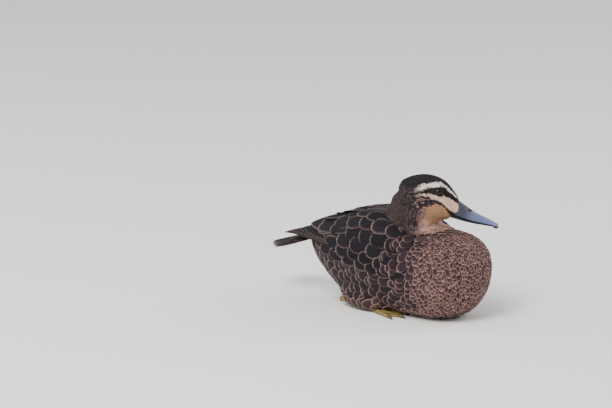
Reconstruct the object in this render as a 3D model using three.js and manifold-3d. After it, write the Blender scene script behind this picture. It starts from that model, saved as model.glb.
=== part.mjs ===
// A Pacific black duck at rest: on its belly, neck drawn in, head turned to its left, bill a little down.
// Millimetres. +X runs from tail to breast, +Y to the bird's left, +Z up, and the floor is z = 0.
import * as THREE from "three";
import { mergeVertices } from "three/addons/utils/BufferGeometryUtils.js";
import Module from "manifold-3d";

const wasm = await Module();
wasm.setup();

// ---- Driving dimensions ----------------------------------------------------------------------------

const BREAST_FRONT_X = 121; // foremost point of the breast
const TAIL_TIP_X = -193; // tips of the middle tail feathers
const RUMP_END_X = -134; // rear end of the flesh, under the tail
const BREAST_CAP = 66; // length over which the breast rounds off
const RUMP_CAP = 56; // length over which the rump rounds off
const BREAST_ROUNDNESS = 2.4; // 2 is an ellipse, more is fuller
const RUMP_ROUNDNESS = 2;

const HEAD_CENTRE = new THREE.Vector3(44.7, 0, 142.5); // between the cheeks, a little below the eyes
const HEAD_TURN = THREE.MathUtils.degToRad(40); // to the bird's left
const HEAD_PITCH = THREE.MathUtils.degToRad(15); // bill down
const HEAD_BACK_X = -36;
const HEAD_FRONT_X = 35.5;

const EYE = new THREE.Vector3(7.2, 12.0, 9.5); // in the head's own frame, left eye
const EYE_RADIUS = 5.4;

const BILL_ROOT_X = 27; // buried in the head
const BILL_TIP_X = 86;
const LOWER_BILL_TIP_X = 82.5;
const NAIL_LENGTH = 8;
const NAIL_HALF_WIDTH = 4.2;
const NOSTRIL = new THREE.Vector3(46, 5.2, -3.4);
const NOSTRIL_RADII = new THREE.Vector3(3.4, 1.8, 1.3);

const NECK_COLUMN = { x: 31, deep: 42, wide: 37, base: 98, top: 190 };
const THROAT_CUT = { point: new THREE.Vector3(30, -6, 125), normal: new THREE.Vector3(0.22, 0.187, 0.957) };
const BREAST_CUT_X = 58;
const RUMP_CUT_X = -88;

const GAP = 0.3; // between neighbouring solids
const LAYER_GAP = 0.6; // between a flat-faceted feather layer and the rounder body under it
const LEAST_FEATHER = 1.6; // how far the thin rim of a wing stands off the body

const FOOT_X = -14; // where the toes join the shank
const FOOT_Y = 35;
const TOE_LENGTHS = [40, 48, 43]; // inner, middle, outer
const TOE_SPLAY = THREE.MathUtils.degToRad(17);
const TOE_RADIUS = 2.6;
const WEB_THICKNESS = 1.4;
const SHANK_LENGTH = 46;
const SHANK_RADIUS = 3.1;

// Sections of the trunk: top, belly, half width and the height of the widest line.
// A belly below 0 lies flat on the floor.
const TRUNK = [
  { x: -134, top: 84, belly: 54, half: 25, widest: 70 },
  { x: -85, top: 102, belly: 22, half: 43, widest: 63 },
  { x: -45, top: 114, belly: 0, half: 52, widest: 58 },
  { x: 0, top: 120, belly: -3, half: 56, widest: 58 },
  { x: 45, top: 108, belly: -3, half: 57, widest: 60 },
  { x: 70, top: 104, belly: -3, half: 57, widest: 60 },
  { x: 95, top: 106, belly: -2, half: 56, widest: 61 },
  { x: 121, top: 106, belly: 4, half: 50, widest: 62 },
];
// Sections of the drawn-in neck, level by level, leaning over to the back of the turned head.
const NECK = [
  { z: 68, x: 40, y: 0, deep: 50, wide: 46 },
  { z: 90, x: 31, y: 0, deep: 41, wide: 42 },
  { z: 105, x: 22, y: -2, deep: 30, wide: 33 },
  { z: 118, x: 21, y: -7, deep: 26, wide: 25.5 },
  { z: 131, x: 23, y: -9, deep: 26, wide: 22.5 },
  { z: 141, x: 26, y: -11, deep: 23, wide: 19 },
  { z: 150, x: 29, y: -13, deep: 14, wide: 12 },
];
// Sections of the head along its own axis: crown, throat, half width and the height of the widest line.
const HEAD = [
  { x: -36, crown: 9, throat: -8, half: 12, widest: 0 },
  { x: -26, crown: 16.5, throat: -21, half: 18.5, widest: -2 },
  { x: -12, crown: 22.2, throat: -30, half: 20.5, widest: -5 },
  { x: 1, crown: 23.2, throat: -33, half: 20, widest: -7 },
  { x: 12, crown: 20.6, throat: -30.5, half: 17.6, widest: -8 },
  { x: 21, crown: 14.8, throat: -25, half: 14, widest: -9 },
  { x: 30, crown: 7.2, throat: -21, half: 10.6, widest: -10 },
  { x: 35.5, crown: 2.6, throat: -18, half: 9.2, widest: -11 },
];
// Sections of the upper bill: ridge, cutting edge and half width.
const UPPER_BILL = [
  { x: 27, ridge: 3, edge: -15.2, half: 8 },
  { x: 35, ridge: 1.6, edge: -15.8, half: 8.9 },
  { x: 45, ridge: -2.6, edge: -16.6, half: 9 },
  { x: 56, ridge: -6.6, edge: -16.8, half: 9.4 },
  { x: 67, ridge: -9.4, edge: -16.2, half: 10.3 },
  { x: 76, ridge: -11.4, edge: -15.9, half: 10.2 },
  { x: 83, ridge: -13.2, edge: -16.4, half: 7.4 },
  { x: 86, ridge: -14.8, edge: -17, half: 4 },
];

// ---- Shape tools -----------------------------------------------------------------------------------

const material = (name, color, roughness = 0.75, metalness = 0) =>
  new THREE.MeshStandardMaterial({ name, color, roughness, metalness });
const PLUMAGE = material("brown plumage", 0x3a2f29);
const BREAST = material("breast plumage", 0x7a5f4c);
const FACE = material("face plumage", 0xb59a76);
const QUILL = material("wing and tail quills", 0x2c2523, 0.6);
const HORN = material("slate bill", 0x5d6570, 0.4);
const BLACK_HORN = material("black horn", 0x15151a, 0.4);
const EYEBALL = material("brown eye", 0x2a1608, 0.1);
const LEG_SKIN = material("olive leg skin", 0x7c6a3a, 0.6);

/** A smooth curve of one column of a table of sections, flat beyond its ends. */
function column(rows, along, key) {
  const n = rows.length;
  const slope = rows.map((r, i) => {
    const before = rows[Math.max(0, i - 1)];
    const after = rows[Math.min(n - 1, i + 1)];
    return (after[key] - before[key]) / (after[along] - before[along]);
  });
  return (at) => {
    if (at <= rows[0][along]) return rows[0][key];
    if (at >= rows[n - 1][along]) return rows[n - 1][key];
    const i = rows.findIndex((r) => r[along] > at) - 1;
    const span = rows[i + 1][along] - rows[i][along];
    const t = (at - rows[i][along]) / span;
    const [t2, t3] = [t * t, t * t * t];
    return (
      (2 * t3 - 3 * t2 + 1) * rows[i][key] +
      (t3 - 2 * t2 + t) * span * slope[i] +
      (3 * t2 - 2 * t3) * rows[i + 1][key] +
      (t3 - t2) * span * slope[i + 1]
    );
  };
}

const columns = (rows, along) =>
  Object.fromEntries(Object.keys(rows[0]).map((key) => [key, column(rows, along, key)]));

/** sin or cos raised to 2 / fullness with its sign kept, for a superellipse. */
const rounded = (value, fullness) => Math.sign(value) * Math.abs(value) ** (2 / fullness);

/** A bump of height 1 at 0 that has faded out by about 2. */
const bump = (distance) => Math.exp(-distance * distance);

/** 0 at both ends of 0..1 and 1 between them, with shoulders of the given width. */
const plateau = (t, shoulder) => {
  const near = Math.min(1, Math.min(t, 1 - t) / shoulder);
  return Math.sin((Math.PI / 2) * Math.max(0, near));
};

/** A BufferGeometry from points and index triples. */
function geometryOf(points, triangles) {
  const geometry = new THREE.BufferGeometry().setFromPoints(points);
  return geometry.setIndex(triangles.flat());
}

/** A closed skin over rings of equal length, with a fan at each end to that end's middle point. */
function loft(rings, firstPole, lastPole) {
  const around = rings[0].length;
  const points = [...rings.flat(), firstPole, lastPole];
  const first = rings.length * around;
  const triangles = [];
  for (let i = 0; i < around; i++) {
    const j = (i + 1) % around;
    triangles.push([first, j, i]);
    for (let k = 0; k + 1 < rings.length; k++) {
      const [a, b] = [k * around, (k + 1) * around];
      triangles.push([a + i, a + j, b + j], [a + i, b + j, b + i]);
    }
    const last = (rings.length - 1) * around;
    triangles.push([first + 1, last + i, last + j]);
  }
  return geometryOf(points, triangles);
}

/** A closed plate: a grid of outer points, the same grid of inner points, and a rim between them. */
function plate(rows, cols, outer, inner) {
  const points = [];
  for (const side of [outer, inner])
    for (let i = 0; i <= rows; i++)
      for (let j = 0; j <= cols; j++) points.push(side(i / rows, j / cols));
  const at = (side, i, j) => side * (rows + 1) * (cols + 1) + i * (cols + 1) + j;
  const triangles = [];
  const quad = (a, b, c, d) => triangles.push([a, b, c], [a, c, d]);
  for (let i = 0; i < rows; i++)
    for (let j = 0; j < cols; j++) {
      quad(at(0, i, j), at(0, i + 1, j), at(0, i + 1, j + 1), at(0, i, j + 1));
      quad(at(1, i, j), at(1, i, j + 1), at(1, i + 1, j + 1), at(1, i + 1, j));
    }
  for (let i = 0; i < rows; i++) {
    quad(at(0, i, 0), at(1, i, 0), at(1, i + 1, 0), at(0, i + 1, 0));
    quad(at(0, i, cols), at(0, i + 1, cols), at(1, i + 1, cols), at(1, i, cols));
  }
  for (let j = 0; j < cols; j++) {
    quad(at(0, 0, j), at(0, 0, j + 1), at(1, 0, j + 1), at(1, 0, j));
    quad(at(0, rows, j), at(1, rows, j), at(1, rows, j + 1), at(0, rows, j + 1));
  }
  return geometryOf(points, triangles);
}

/** A closed geometry as a solid, turned to face outwards. */
function solid(geometry, matrix = new THREE.Matrix4()) {
  const placed = geometry.clone().applyMatrix4(matrix);
  for (const name of ["normal", "uv"]) placed.deleteAttribute(name);
  const merged = mergeVertices(placed, 1e-3);
  const make = (triVerts) =>
    new wasm.Manifold(
      new wasm.Mesh({
        numProp: 3,
        vertProperties: merged.attributes.position.array,
        triVerts: new Uint32Array(triVerts),
      }),
    );
  const made = make(merged.index.array);
  return made.volume() > 0 ? made : make([...merged.index.array].reverse());
}

/** A named mesh of the largest body of a solid. */
function meshOf(name, made, look) {
  const largest = made.decompose().sort((a, b) => b.volume() - a.volume())[0];
  const { vertProperties, triVerts, numProp } = largest.getMesh();
  const points = [];
  for (let i = 0; i < vertProperties.length; i += numProp)
    points.push(new THREE.Vector3(...vertProperties.subarray(i, i + 3)));
  const mesh = new THREE.Mesh(geometryOf(points, [[...triVerts]]), look);
  mesh.name = name;
  return mesh;
}

/** The mirror of a solid across the bird's own midplane. */
const mirrored = (made) => made.mirror([0, 1, 0]);

/** The part of a solid behind a plane and the part beyond it, half a gap back on each side. */
function cutAt(made, point, normal) {
  const n = normal.clone().normalize();
  const offset = n.dot(point);
  return [
    made.trimByPlane(n.clone().negate().toArray(), -offset + GAP / 2),
    made.trimByPlane(n.toArray(), offset + GAP / 2),
  ];
}

// ---- Trunk, neck and head: one run of flesh under its feathers -------------------------------------

const trunkAt = columns(TRUNK, "x");

/** 1 along the body and 0 at either end, on a rounded course. */
function trunkCap(x) {
  const forward = (x - (BREAST_FRONT_X - BREAST_CAP)) / BREAST_CAP;
  const backward = (RUMP_END_X + RUMP_CAP - x) / RUMP_CAP;
  if (forward > 0) return (1 - Math.min(1, forward) ** BREAST_ROUNDNESS) ** (1 / BREAST_ROUNDNESS);
  if (backward > 0) return (1 - Math.min(1, backward) ** RUMP_ROUNDNESS) ** (1 / RUMP_ROUNDNESS);
  return 1;
}

/** A point of the trunk's surface, lifted a little. angle is 0 on the back and grows to the bird's left. */
function trunkPoint(x, angle, lift = 0) {
  const cap = trunkCap(x);
  const middle = trunkAt.widest(x);
  const [across, up] = [Math.sin(angle), Math.cos(angle)];
  const height = up > 0 ? trunkAt.top(x) - middle : middle - trunkAt.belly(x);
  const fullness = up > 0 ? 2.05 : 2.25;
  const half = trunkAt.half(x) * cap + lift;
  const z = middle + (height * cap + lift) * rounded(up, fullness);
  return new THREE.Vector3(x, half * rounded(across, fullness), Math.max(z, -lift));
}

const TRUNK_STATIONS = 20;
const TRUNK_AROUND = 26;

function trunkSolid(lift = 0) {
  const rings = [];
  const middle = (BREAST_FRONT_X + RUMP_END_X) / 2;
  const reach = (BREAST_FRONT_X - RUMP_END_X) / 2;
  for (let k = 1; k < TRUNK_STATIONS; k++) {
    const x = middle - reach * Math.cos((Math.PI * k) / TRUNK_STATIONS);
    const ring = [];
    for (let i = 0; i < TRUNK_AROUND; i++) {
      ring.push(trunkPoint(x, (2 * Math.PI * i) / TRUNK_AROUND, lift));
    }
    rings.push(ring);
  }
  const pole = (x, step) => new THREE.Vector3(x + step * lift, 0, trunkAt.widest(x));
  return solid(loft(rings, pole(RUMP_END_X, -1), pole(BREAST_FRONT_X, 1)));
}

const neckAt = columns(NECK, "z");

function neckSolid() {
  const rings = [];
  const [low, high] = [NECK[0].z, NECK.at(-1).z];
  const [levels, around] = [7, 22];
  for (let k = 0; k <= levels; k++) {
    const z = low + ((high - low) * k) / levels;
    const ring = [];
    for (let i = 0; i < around; i++) {
      const angle = (2 * Math.PI * i) / around;
      const x = neckAt.x(z) + neckAt.deep(z) * Math.cos(angle);
      ring.push(new THREE.Vector3(x, neckAt.y(z) + neckAt.wide(z) * Math.sin(angle), z));
    }
    rings.push(ring);
  }
  const pole = (z, step) => new THREE.Vector3(neckAt.x(z), neckAt.y(z), z + step);
  return solid(loft(rings, pole(low, -5), pole(high, 3)));
}

/** The column that the neck node is cut out with, a little wider than the neck where it leaves the body. */
function neckColumn(lift = 0) {
  const radii = [NECK_COLUMN.deep + lift, NECK_COLUMN.wide + lift];
  const height = NECK_COLUMN.top - NECK_COLUMN.base + lift;
  const drum = new THREE.CylinderGeometry(1, 1, height, 32).rotateX(Math.PI / 2).scale(...radii, 1);
  return solid(drum.translate(NECK_COLUMN.x, 0, NECK_COLUMN.top - height / 2));
}

const headAt = columns(HEAD, "x");

/** Head's own frame to the bird's: pitched down, turned left and set at the head's place. */
const HEAD_PLACE = new THREE.Matrix4()
  .makeTranslation(HEAD_CENTRE)
  .multiply(new THREE.Matrix4().makeRotationZ(HEAD_TURN))
  .multiply(new THREE.Matrix4().makeRotationY(HEAD_PITCH));

/** How far the face swells or sinks from its plain section: orbit, brow, lore and cheek. */
function faceRelief(x, z) {
  const orbit = -0.5 * bump(Math.hypot((x - EYE.x) / 9, (z - EYE.z) / 5));
  const brow = 1.1 * bump(Math.hypot((x - EYE.x - 1) / 9, (z - 16) / 3));
  const lore = -1.2 * bump(Math.hypot((x - 23) / 8, (z - 1) / 5));
  const cheek = 1.8 * bump(Math.hypot((x + 4) / 13, (z + 11) / 9));
  return orbit + brow + lore + cheek;
}

function headSolid() {
  const [stations, around] = [15, 24];
  const rings = [];
  for (let k = 0; k <= stations; k++) {
    const x = HEAD_BACK_X + ((HEAD_FRONT_X - HEAD_BACK_X) * k) / stations;
    const ring = [];
    for (let i = 0; i < around; i++) {
      const angle = (2 * Math.PI * i) / around;
      const [across, up] = [Math.sin(angle), Math.cos(angle)];
      const middle = headAt.widest(x);
      const height = up > 0 ? headAt.crown(x) - middle : middle - headAt.throat(x);
      const z = middle + height * rounded(up, up > 0 ? 1.9 : 2.2);
      const y = headAt.half(x) * rounded(across, 2.1) + faceRelief(x, z) * across;
      ring.push(new THREE.Vector3(x, y, z));
    }
    rings.push(ring);
  }
  const back = new THREE.Vector3(HEAD_BACK_X - 3, 0, headAt.widest(HEAD_BACK_X));
  const front = new THREE.Vector3(HEAD_FRONT_X + 0.6, 0, -8);
  return solid(loft(rings, back, front), HEAD_PLACE);
}

/** An ellipsoid in the head's own frame. */
function headEllipsoid(centre, radii, detail = [10, 6]) {
  const place = new THREE.Matrix4().compose(centre, new THREE.Quaternion(), radii);
  return solid(new THREE.SphereGeometry(1, ...detail), HEAD_PLACE.clone().multiply(place));
}

const otherSide = (v) => new THREE.Vector3(v.x, -v.y, v.z);
const ball = (radius) => new THREE.Vector3(radius, radius, radius);

// ---- Bill ------------------------------------------------------------------------------------------

const billAt = columns(UPPER_BILL, "x");

/** The upper bill's section: an arch from edge to edge over a shallow hollow. */
function upperBillRing(x, lift) {
  const around = 14;
  const ring = [];
  const [ridge, edge] = [billAt.ridge(x) + lift, billAt.edge(x) - lift];
  const half = billAt.half(x) + lift;
  for (let i = 0; i < around; i++) {
    const angle = (2 * Math.PI * i) / around;
    const [across, up] = [Math.sin(angle), Math.cos(angle)];
    const flatness = THREE.MathUtils.lerp(2, 2.7, THREE.MathUtils.smoothstep(x, 40, 72));
    const rise = up > 0 ? (ridge - edge - 1.6) * rounded(up, flatness) : 1.6 * rounded(up, 2);
    const z = edge + 1.6 + rise;
    ring.push(new THREE.Vector3(x, half * rounded(across, flatness), z));
  }
  return ring;
}

function upperBillSolid(lift = 0) {
  const stations = 11;
  const rings = [];
  for (let k = 0; k <= stations; k++) {
    const t = Math.sin(((Math.PI / 2) * k) / stations);
    rings.push(upperBillRing(BILL_ROOT_X - lift + (BILL_TIP_X - BILL_ROOT_X + 2 * lift) * t, lift));
  }
  const root = new THREE.Vector3(BILL_ROOT_X - 0.5 - lift, 0, -6);
  const tip = new THREE.Vector3(BILL_TIP_X + 1 + lift, 0, billAt.edge(BILL_TIP_X) + 0.9);
  return solid(loft(rings, root, tip), HEAD_PLACE);
}

/** The lower bill: a shallow trough that closes up under the upper one. */
function lowerBillSolid(lift = 0) {
  const [stations, around] = [8, 12];
  const rings = [];
  for (let k = 0; k <= stations; k++) {
    const t = Math.sin(((Math.PI / 2) * k) / stations);
    const x = BILL_ROOT_X - lift + (LOWER_BILL_TIP_X - BILL_ROOT_X + 2 * lift) * t;
    const half = billAt.half(x) * 0.9 - 2.2 * t ** 12 + lift;
    const depth = THREE.MathUtils.lerp(5.4, 2.4, t) + 2 * lift;
    const top = billAt.edge(x) + 1.2 + lift;
    rings.push(
      Array.from({ length: around }, (_, i) => {
        const angle = (2 * Math.PI * i) / around;
        const z = top - depth / 2 + (depth / 2) * rounded(Math.cos(angle), 2.4);
        return new THREE.Vector3(x, half * rounded(Math.sin(angle), 2.4), z);
      }),
    );
  }
  const root = new THREE.Vector3(BILL_ROOT_X - 0.5 - lift, 0, -17.5);
  const tip = new THREE.Vector3(LOWER_BILL_TIP_X + 0.8 + lift, 0, billAt.edge(LOWER_BILL_TIP_X));
  return solid(loft(rings, root, tip), HEAD_PLACE);
}

/** The nail: a raised oval of harder horn over the bill's tip. */
function nailSolid() {
  const centre = new THREE.Vector3(BILL_TIP_X - NAIL_LENGTH / 2 + 1.1, 0, billAt.edge(BILL_TIP_X) + 0.9);
  const radii = new THREE.Vector3(NAIL_LENGTH / 2, NAIL_HALF_WIDTH, 3.4);
  return headEllipsoid(centre, radii);
}

// ---- Wings: folded on the body, each in four layers ------------------------------------------------

/** A layer of feathers on the trunk: it runs back between two heights given as angles, and bulges. */
function layer({ from, to, upper, lower, height, rows = 9, cols = 5 }, lift = 0) {
  const place = (t, s, stand) => {
    const margin = lift / 60;
    const x = THREE.MathUtils.lerp(from + lift, to - lift, t);
    const angle = THREE.MathUtils.lerp(upper(t) - margin, lower(t) + margin, s);
    return trunkPoint(x, angle, stand);
  };
  const outer = (t, s) => place(t, s, LEAST_FEATHER + lift + height * plateau(t, 0.35) * plateau(s, 0.4));
  return solid(plate(rows, cols, outer, (t, s) => place(t, s, LAYER_GAP - lift)));
}

/** A long blade of stacked quills along a line of stations, with a rounded point. */
function blade({ stations, thickness, rows = 8, cols = 4 }, lift = 0) {
  const spine = columns(stations, "t");
  const face = (side) => (t, s) => {
    const v = 2 * s - 1;
    const point = Math.sqrt(Math.max(0.02, 1 - Math.max(0, (t - 0.62) / 0.385) ** 2));
    const half = spine.half(t) * point + lift;
    const tilt = spine.tilt(t);
    const stack = (thickness * (1.15 - t) * (1 - 0.75 * v * v)) / 2 + 0.35 + lift;
    const reach = v * half;
    return new THREE.Vector3(
      spine.x(t) - (t > 0.99 ? lift : 0),
      spine.y(t) + reach * Math.cos(tilt) + side * stack * Math.sin(tilt),
      spine.z(t) - reach * Math.sin(tilt) + side * stack * Math.cos(tilt),
    );
  };
  return solid(plate(rows, cols, face(1), face(-1)));
}

const degrees = THREE.MathUtils.degToRad;
const between = (a, b) => (t) => THREE.MathUtils.lerp(degrees(a), degrees(b), t);

const PRIMARIES = {
  thickness: 6,
  stations: [
    { t: 0, x: -52, y: 46, z: 78, half: 13, tilt: 1.0 },
    { t: 0.35, x: -92, y: 37, z: 81, half: 12.5, tilt: 0.85 },
    { t: 0.7, x: -132, y: 23, z: 80, half: 11, tilt: 0.5 },
    { t: 1, x: -168, y: 12, z: 72, half: 9, tilt: 0.3 },
  ],
};
const TERTIALS = {
  thickness: 7,
  stations: [
    { t: 0, x: -18, y: 33, z: 108, half: 20, tilt: 0.62 },
    { t: 0.4, x: -58, y: 30, z: 103, half: 19, tilt: 0.62 },
    { t: 0.75, x: -96, y: 24, z: 94.5, half: 15, tilt: 0.55 },
    { t: 1, x: -124, y: 18, z: 86, half: 11, tilt: 0.45 },
  ],
};
const COVERTS = { from: 50, to: -104, upper: between(38, 52), lower: between(106, 84), height: 5 };
const SCAPULARS = { from: 50, to: -70, upper: between(17, 10), lower: between(80, 58), height: 8 };

// ---- Tail ------------------------------------------------------------------------------------------

const TAIL_ROOT_X = -104;
const TAIL_ROOT_Z = 82;
const TAIL_DROOP = Math.tan(degrees(17));
const TAIL_HALF_WIDTHS = [17, 35]; // at the root and at the tip
const TAIL_ROUNDING = 24; // how much shorter the outer feathers are
const TAIL_ARCH = 7; // how far the sides droop

function tailSolid(lift = 0) {
  const face = (side) => (t, s) => {
    const v = 2 * s - 1;
    const length = TAIL_ROOT_X - TAIL_TIP_X - TAIL_ROUNDING * Math.abs(v) ** 1.8;
    const x = TAIL_ROOT_X - length * t - (t > 0.99 ? lift : 0);
    const half = THREE.MathUtils.lerp(...TAIL_HALF_WIDTHS, t) + lift;
    const stack = (THREE.MathUtils.lerp(7, 1.4, t) * (1 - 0.45 * v * v)) / 2 + 0.2 + lift;
    const z = TAIL_ROOT_Z + (x - TAIL_ROOT_X) * TAIL_DROOP - TAIL_ARCH * v * v * (0.4 + 0.6 * t);
    return new THREE.Vector3(x, v * half, z + side * stack);
  };
  return solid(plate(4, 12, face(1), face(-1)));
}

// ---- Legs ------------------------------------------------------------------------------------------

/** A tapering toe or shank from one point to another, flat where it would pass below the floor. */
function limb(from, to, startRadius, endRadius, knuckles = 0, segments = 5) {
  const along = to.clone().sub(from);
  const side = new THREE.Vector3(-along.y, along.x, 0).normalize();
  const up = along.clone().cross(side).normalize();
  if (up.z < 0) up.negate();
  const rings = [];
  for (let k = 0; k <= segments; k++) {
    const t = k / segments;
    const swell = 1 + 0.14 * Math.abs(Math.cos(Math.PI * knuckles * t)) * (knuckles > 0);
    const radius = THREE.MathUtils.lerp(startRadius, endRadius, t) * swell;
    rings.push(
      Array.from({ length: 6 }, (_, i) => {
        const angle = (2 * Math.PI * i) / 6;
        const p = from.clone().addScaledVector(along, t);
        p.addScaledVector(side, radius * Math.cos(angle)).addScaledVector(up, radius * Math.sin(angle));
        p.z = Math.max(0, p.z);
        return p;
      }),
    );
  }
  const past = along.clone().normalize();
  const pole = (p, step) => {
    const end = p.clone().addScaledVector(past, step);
    end.z = Math.max(0.05, end.z);
    return end;
  };
  return solid(loft(rings, pole(from, -startRadius / 2), pole(to, endRadius / 2)));
}

const toeEnd = (k) => {
  const angle = (k - 1) * TOE_SPLAY + degrees(6);
  const reach = TOE_LENGTHS[k];
  return new THREE.Vector3(FOOT_X + reach * Math.cos(angle), FOOT_Y + reach * Math.sin(angle), 1.5);
};

/** The web between two neighbouring toes, with a hollow front edge. */
function webSolid(k) {
  const root = new THREE.Vector3(FOOT_X - 1, FOOT_Y, 0);
  const face = (z) => (t, s) => {
    const end = toeEnd(k).lerp(toeEnd(k + 1), s);
    const reach = t * (0.95 - 0.13 * Math.sin(Math.PI * s));
    const p = root.clone().lerp(end, Math.max(0.03, reach));
    p.z = z;
    return p;
  };
  return solid(plate(2, 4, face(WEB_THICKNESS), face(0)));
}

function footSolid() {
  const ankle = new THREE.Vector3(FOOT_X, FOOT_Y, 2.6);
  let made = webSolid(0).add(webSolid(1));
  for (let k = 0; k < TOE_LENGTHS.length; k++) {
    made = made.add(limb(ankle, toeEnd(k), TOE_RADIUS * 1.2, 1.5, 2));
  }
  return made;
}

function clawSolid(k) {
  const end = toeEnd(k);
  const heading = end.clone().sub(new THREE.Vector3(FOOT_X, FOOT_Y, end.z)).normalize();
  const base = end.clone().addScaledVector(heading, 1.35 + GAP);
  base.z = 1.9;
  const tip = base.clone().addScaledVector(heading, 5.5);
  tip.z = 0.9;
  return limb(base, tip, 1.2, 0.45, 0, 2);
}

/** The shank lies back along the floor behind the toes, its heel a little raised. */
function shankSolid() {
  const ankle = new THREE.Vector3(FOOT_X - TOE_RADIUS - SHANK_RADIUS - 1, FOOT_Y, SHANK_RADIUS);
  const heel = new THREE.Vector3(ankle.x - SHANK_LENGTH, FOOT_Y - 4, 8);
  return limb(ankle, heel, SHANK_RADIUS, SHANK_RADIUS * 1.15, 0, 5);
}

// ---- Putting the bird together ---------------------------------------------------------------------

const bird = new THREE.Group();
bird.name = "black_duck";
bird.position.x = -(BREAST_FRONT_X + TAIL_TIP_X) / 2;
const add = (name, made, look) => bird.add(meshOf(name, made, look));
const minus = (made, ...cutters) => cutters.reduce((left, cutter) => left.subtract(cutter), made);

// Head, bill and eyes.
const onLeft = (side, v) => (side > 0 ? v : otherSide(v));
const eyeball = (side, lift = 0) => headEllipsoid(onLeft(side, EYE), ball(EYE_RADIUS + lift));
const nostril = (side) => headEllipsoid(onLeft(side, NOSTRIL), NOSTRIL_RADII, [6, 4]);
const nail = minus(nailSolid(), upperBillSolid(GAP), lowerBillSolid(GAP));
const upperBill = minus(upperBillSolid(), nostril(1), nostril(-1));
const lowerBill = minus(lowerBillSolid(), upperBillSolid(GAP));
add("bill_upper", upperBill, HORN);
add("bill_lower", lowerBill, HORN);
add("bill_nail", nail, BLACK_HORN);
add("eye_left", eyeball(1), EYEBALL);
add("eye_right", eyeball(-1), EYEBALL);

// Flesh, cut across where a person would name a new part.
const flesh = minus(
  trunkSolid().add(neckSolid()).add(headSolid()),
  upperBillSolid(GAP),
  lowerBillSolid(GAP),
  eyeball(1, GAP),
  eyeball(-1, GAP),
);
const [belowHead, head] = cutAt(flesh, THROAT_CUT.point, THROAT_CUT.normal);
const neck = belowHead.intersect(neckColumn());
const body = belowHead.subtract(neckColumn(GAP));
const FORWARD = new THREE.Vector3(1, 0, 0);
const [behindBreast, breast] = cutAt(body, new THREE.Vector3(BREAST_CUT_X, 0, 0), FORWARD);
const [rump, belly] = cutAt(behindBreast, new THREE.Vector3(RUMP_CUT_X, 0, 0), FORWARD);
add("head", head, FACE);
add("neck", neck, BREAST);
add("breast", breast, BREAST);
add("belly_and_back", belly, PLUMAGE);
add("rump", rump, PLUMAGE);

// Tail and wings, each layer cut by the ones it tucks under or lies against.
const grownTrunk = trunkSolid(GAP);
const tail = minus(tailSolid(), grownTrunk);
add("tail", tail, QUILL);
const primaries = minus(blade(PRIMARIES), grownTrunk, tailSolid(GAP));
const grownPrimaries = blade(PRIMARIES, GAP);
const grownScapulars = layer(SCAPULARS, GAP);
const scapulars = minus(layer(SCAPULARS), neckColumn(GAP), grownPrimaries);
const coverts = minus(layer(COVERTS), grownScapulars, grownPrimaries);
const tertials = minus(blade(TERTIALS), grownTrunk, grownScapulars, layer(COVERTS, GAP), grownPrimaries);
const foot = minus(footSolid(), grownTrunk);
const shank = minus(shankSolid(), grownTrunk);
for (const side of ["left", "right"]) {
  const onSide = (made) => (side === "left" ? made : mirrored(made));
  add(`primaries_${side}`, onSide(primaries), QUILL);
  add(`wing_${side}`, onSide(coverts), PLUMAGE);
  add(`tertials_${side}`, onSide(tertials), QUILL);
  add(`scapulars_${side}`, onSide(scapulars), PLUMAGE);
  add(`shank_${side}`, onSide(shank), LEG_SKIN);
  add(`foot_${side}`, onSide(foot), LEG_SKIN);
  for (let k = 0; k < TOE_LENGTHS.length; k++) {
    add(`claw_${side}_${k + 1}`, onSide(minus(clawSolid(k), grownTrunk)), BLACK_HORN);
  }
}

export default bird;
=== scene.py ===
import math

import bmesh
import bpy
import numpy as np
from mathutils import Matrix, Vector, noise
from mathutils.bvhtree import BVHTree
from mathutils.kdtree import KDTree
from numpy.polynomial import polynomial


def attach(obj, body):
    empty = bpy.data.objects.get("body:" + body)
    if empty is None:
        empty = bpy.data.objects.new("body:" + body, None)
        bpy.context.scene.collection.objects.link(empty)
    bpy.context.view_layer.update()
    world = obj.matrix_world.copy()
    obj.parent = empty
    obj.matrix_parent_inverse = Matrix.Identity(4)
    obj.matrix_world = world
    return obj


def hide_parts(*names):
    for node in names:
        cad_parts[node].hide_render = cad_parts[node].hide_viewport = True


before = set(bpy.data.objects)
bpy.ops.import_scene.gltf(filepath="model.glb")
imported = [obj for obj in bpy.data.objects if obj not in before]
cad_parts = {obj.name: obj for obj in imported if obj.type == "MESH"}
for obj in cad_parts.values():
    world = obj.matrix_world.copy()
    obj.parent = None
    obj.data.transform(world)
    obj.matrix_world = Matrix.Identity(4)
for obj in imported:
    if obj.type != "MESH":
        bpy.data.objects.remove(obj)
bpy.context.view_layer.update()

# A Pacific black duck at rest, life size. Lengths in the sections are millimetres; meshes are metres.
# +X runs from tail to breast, +Y to the bird's left, +Z up, and the floor is z = 0.


# ---- Skin ----------------------------------------------------------------------------------------
# The bird's flesh under its feathers: one soft skin over head, neck, trunk and rump.
# It lies a feather coat's depth inside the outline, and carries the coat's markings.

FLESH = ("head", "neck", "breast", "belly_and_back", "rump")
BODY_AT = np.array([36.0, 0.0, 0.0])
HEAD_AT = np.array([80.7, 0.0, 142.5])
HEAD_TURN = math.radians(40)
HEAD_DIP = math.radians(15)


def turned(about, angle):
    """A turning matrix about Z or Y."""
    c, s = math.cos(angle), math.sin(angle)
    if about == "Z":
        return np.array([[c, -s, 0], [s, c, 0], [0, 0, 1]])
    return np.array([[c, 0, s], [0, 1, 0], [-s, 0, c]])


HEAD_AXES = turned("Z", HEAD_TURN) @ turned("Y", HEAD_DIP)


def to_head(p):
    """Points of the bird in the head's own axes: x to the bill's tip, y left, z to the crown."""
    return (p - HEAD_AT) @ HEAD_AXES


def from_head(h):
    return np.asarray(h) @ HEAD_AXES.T + HEAD_AT


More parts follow.
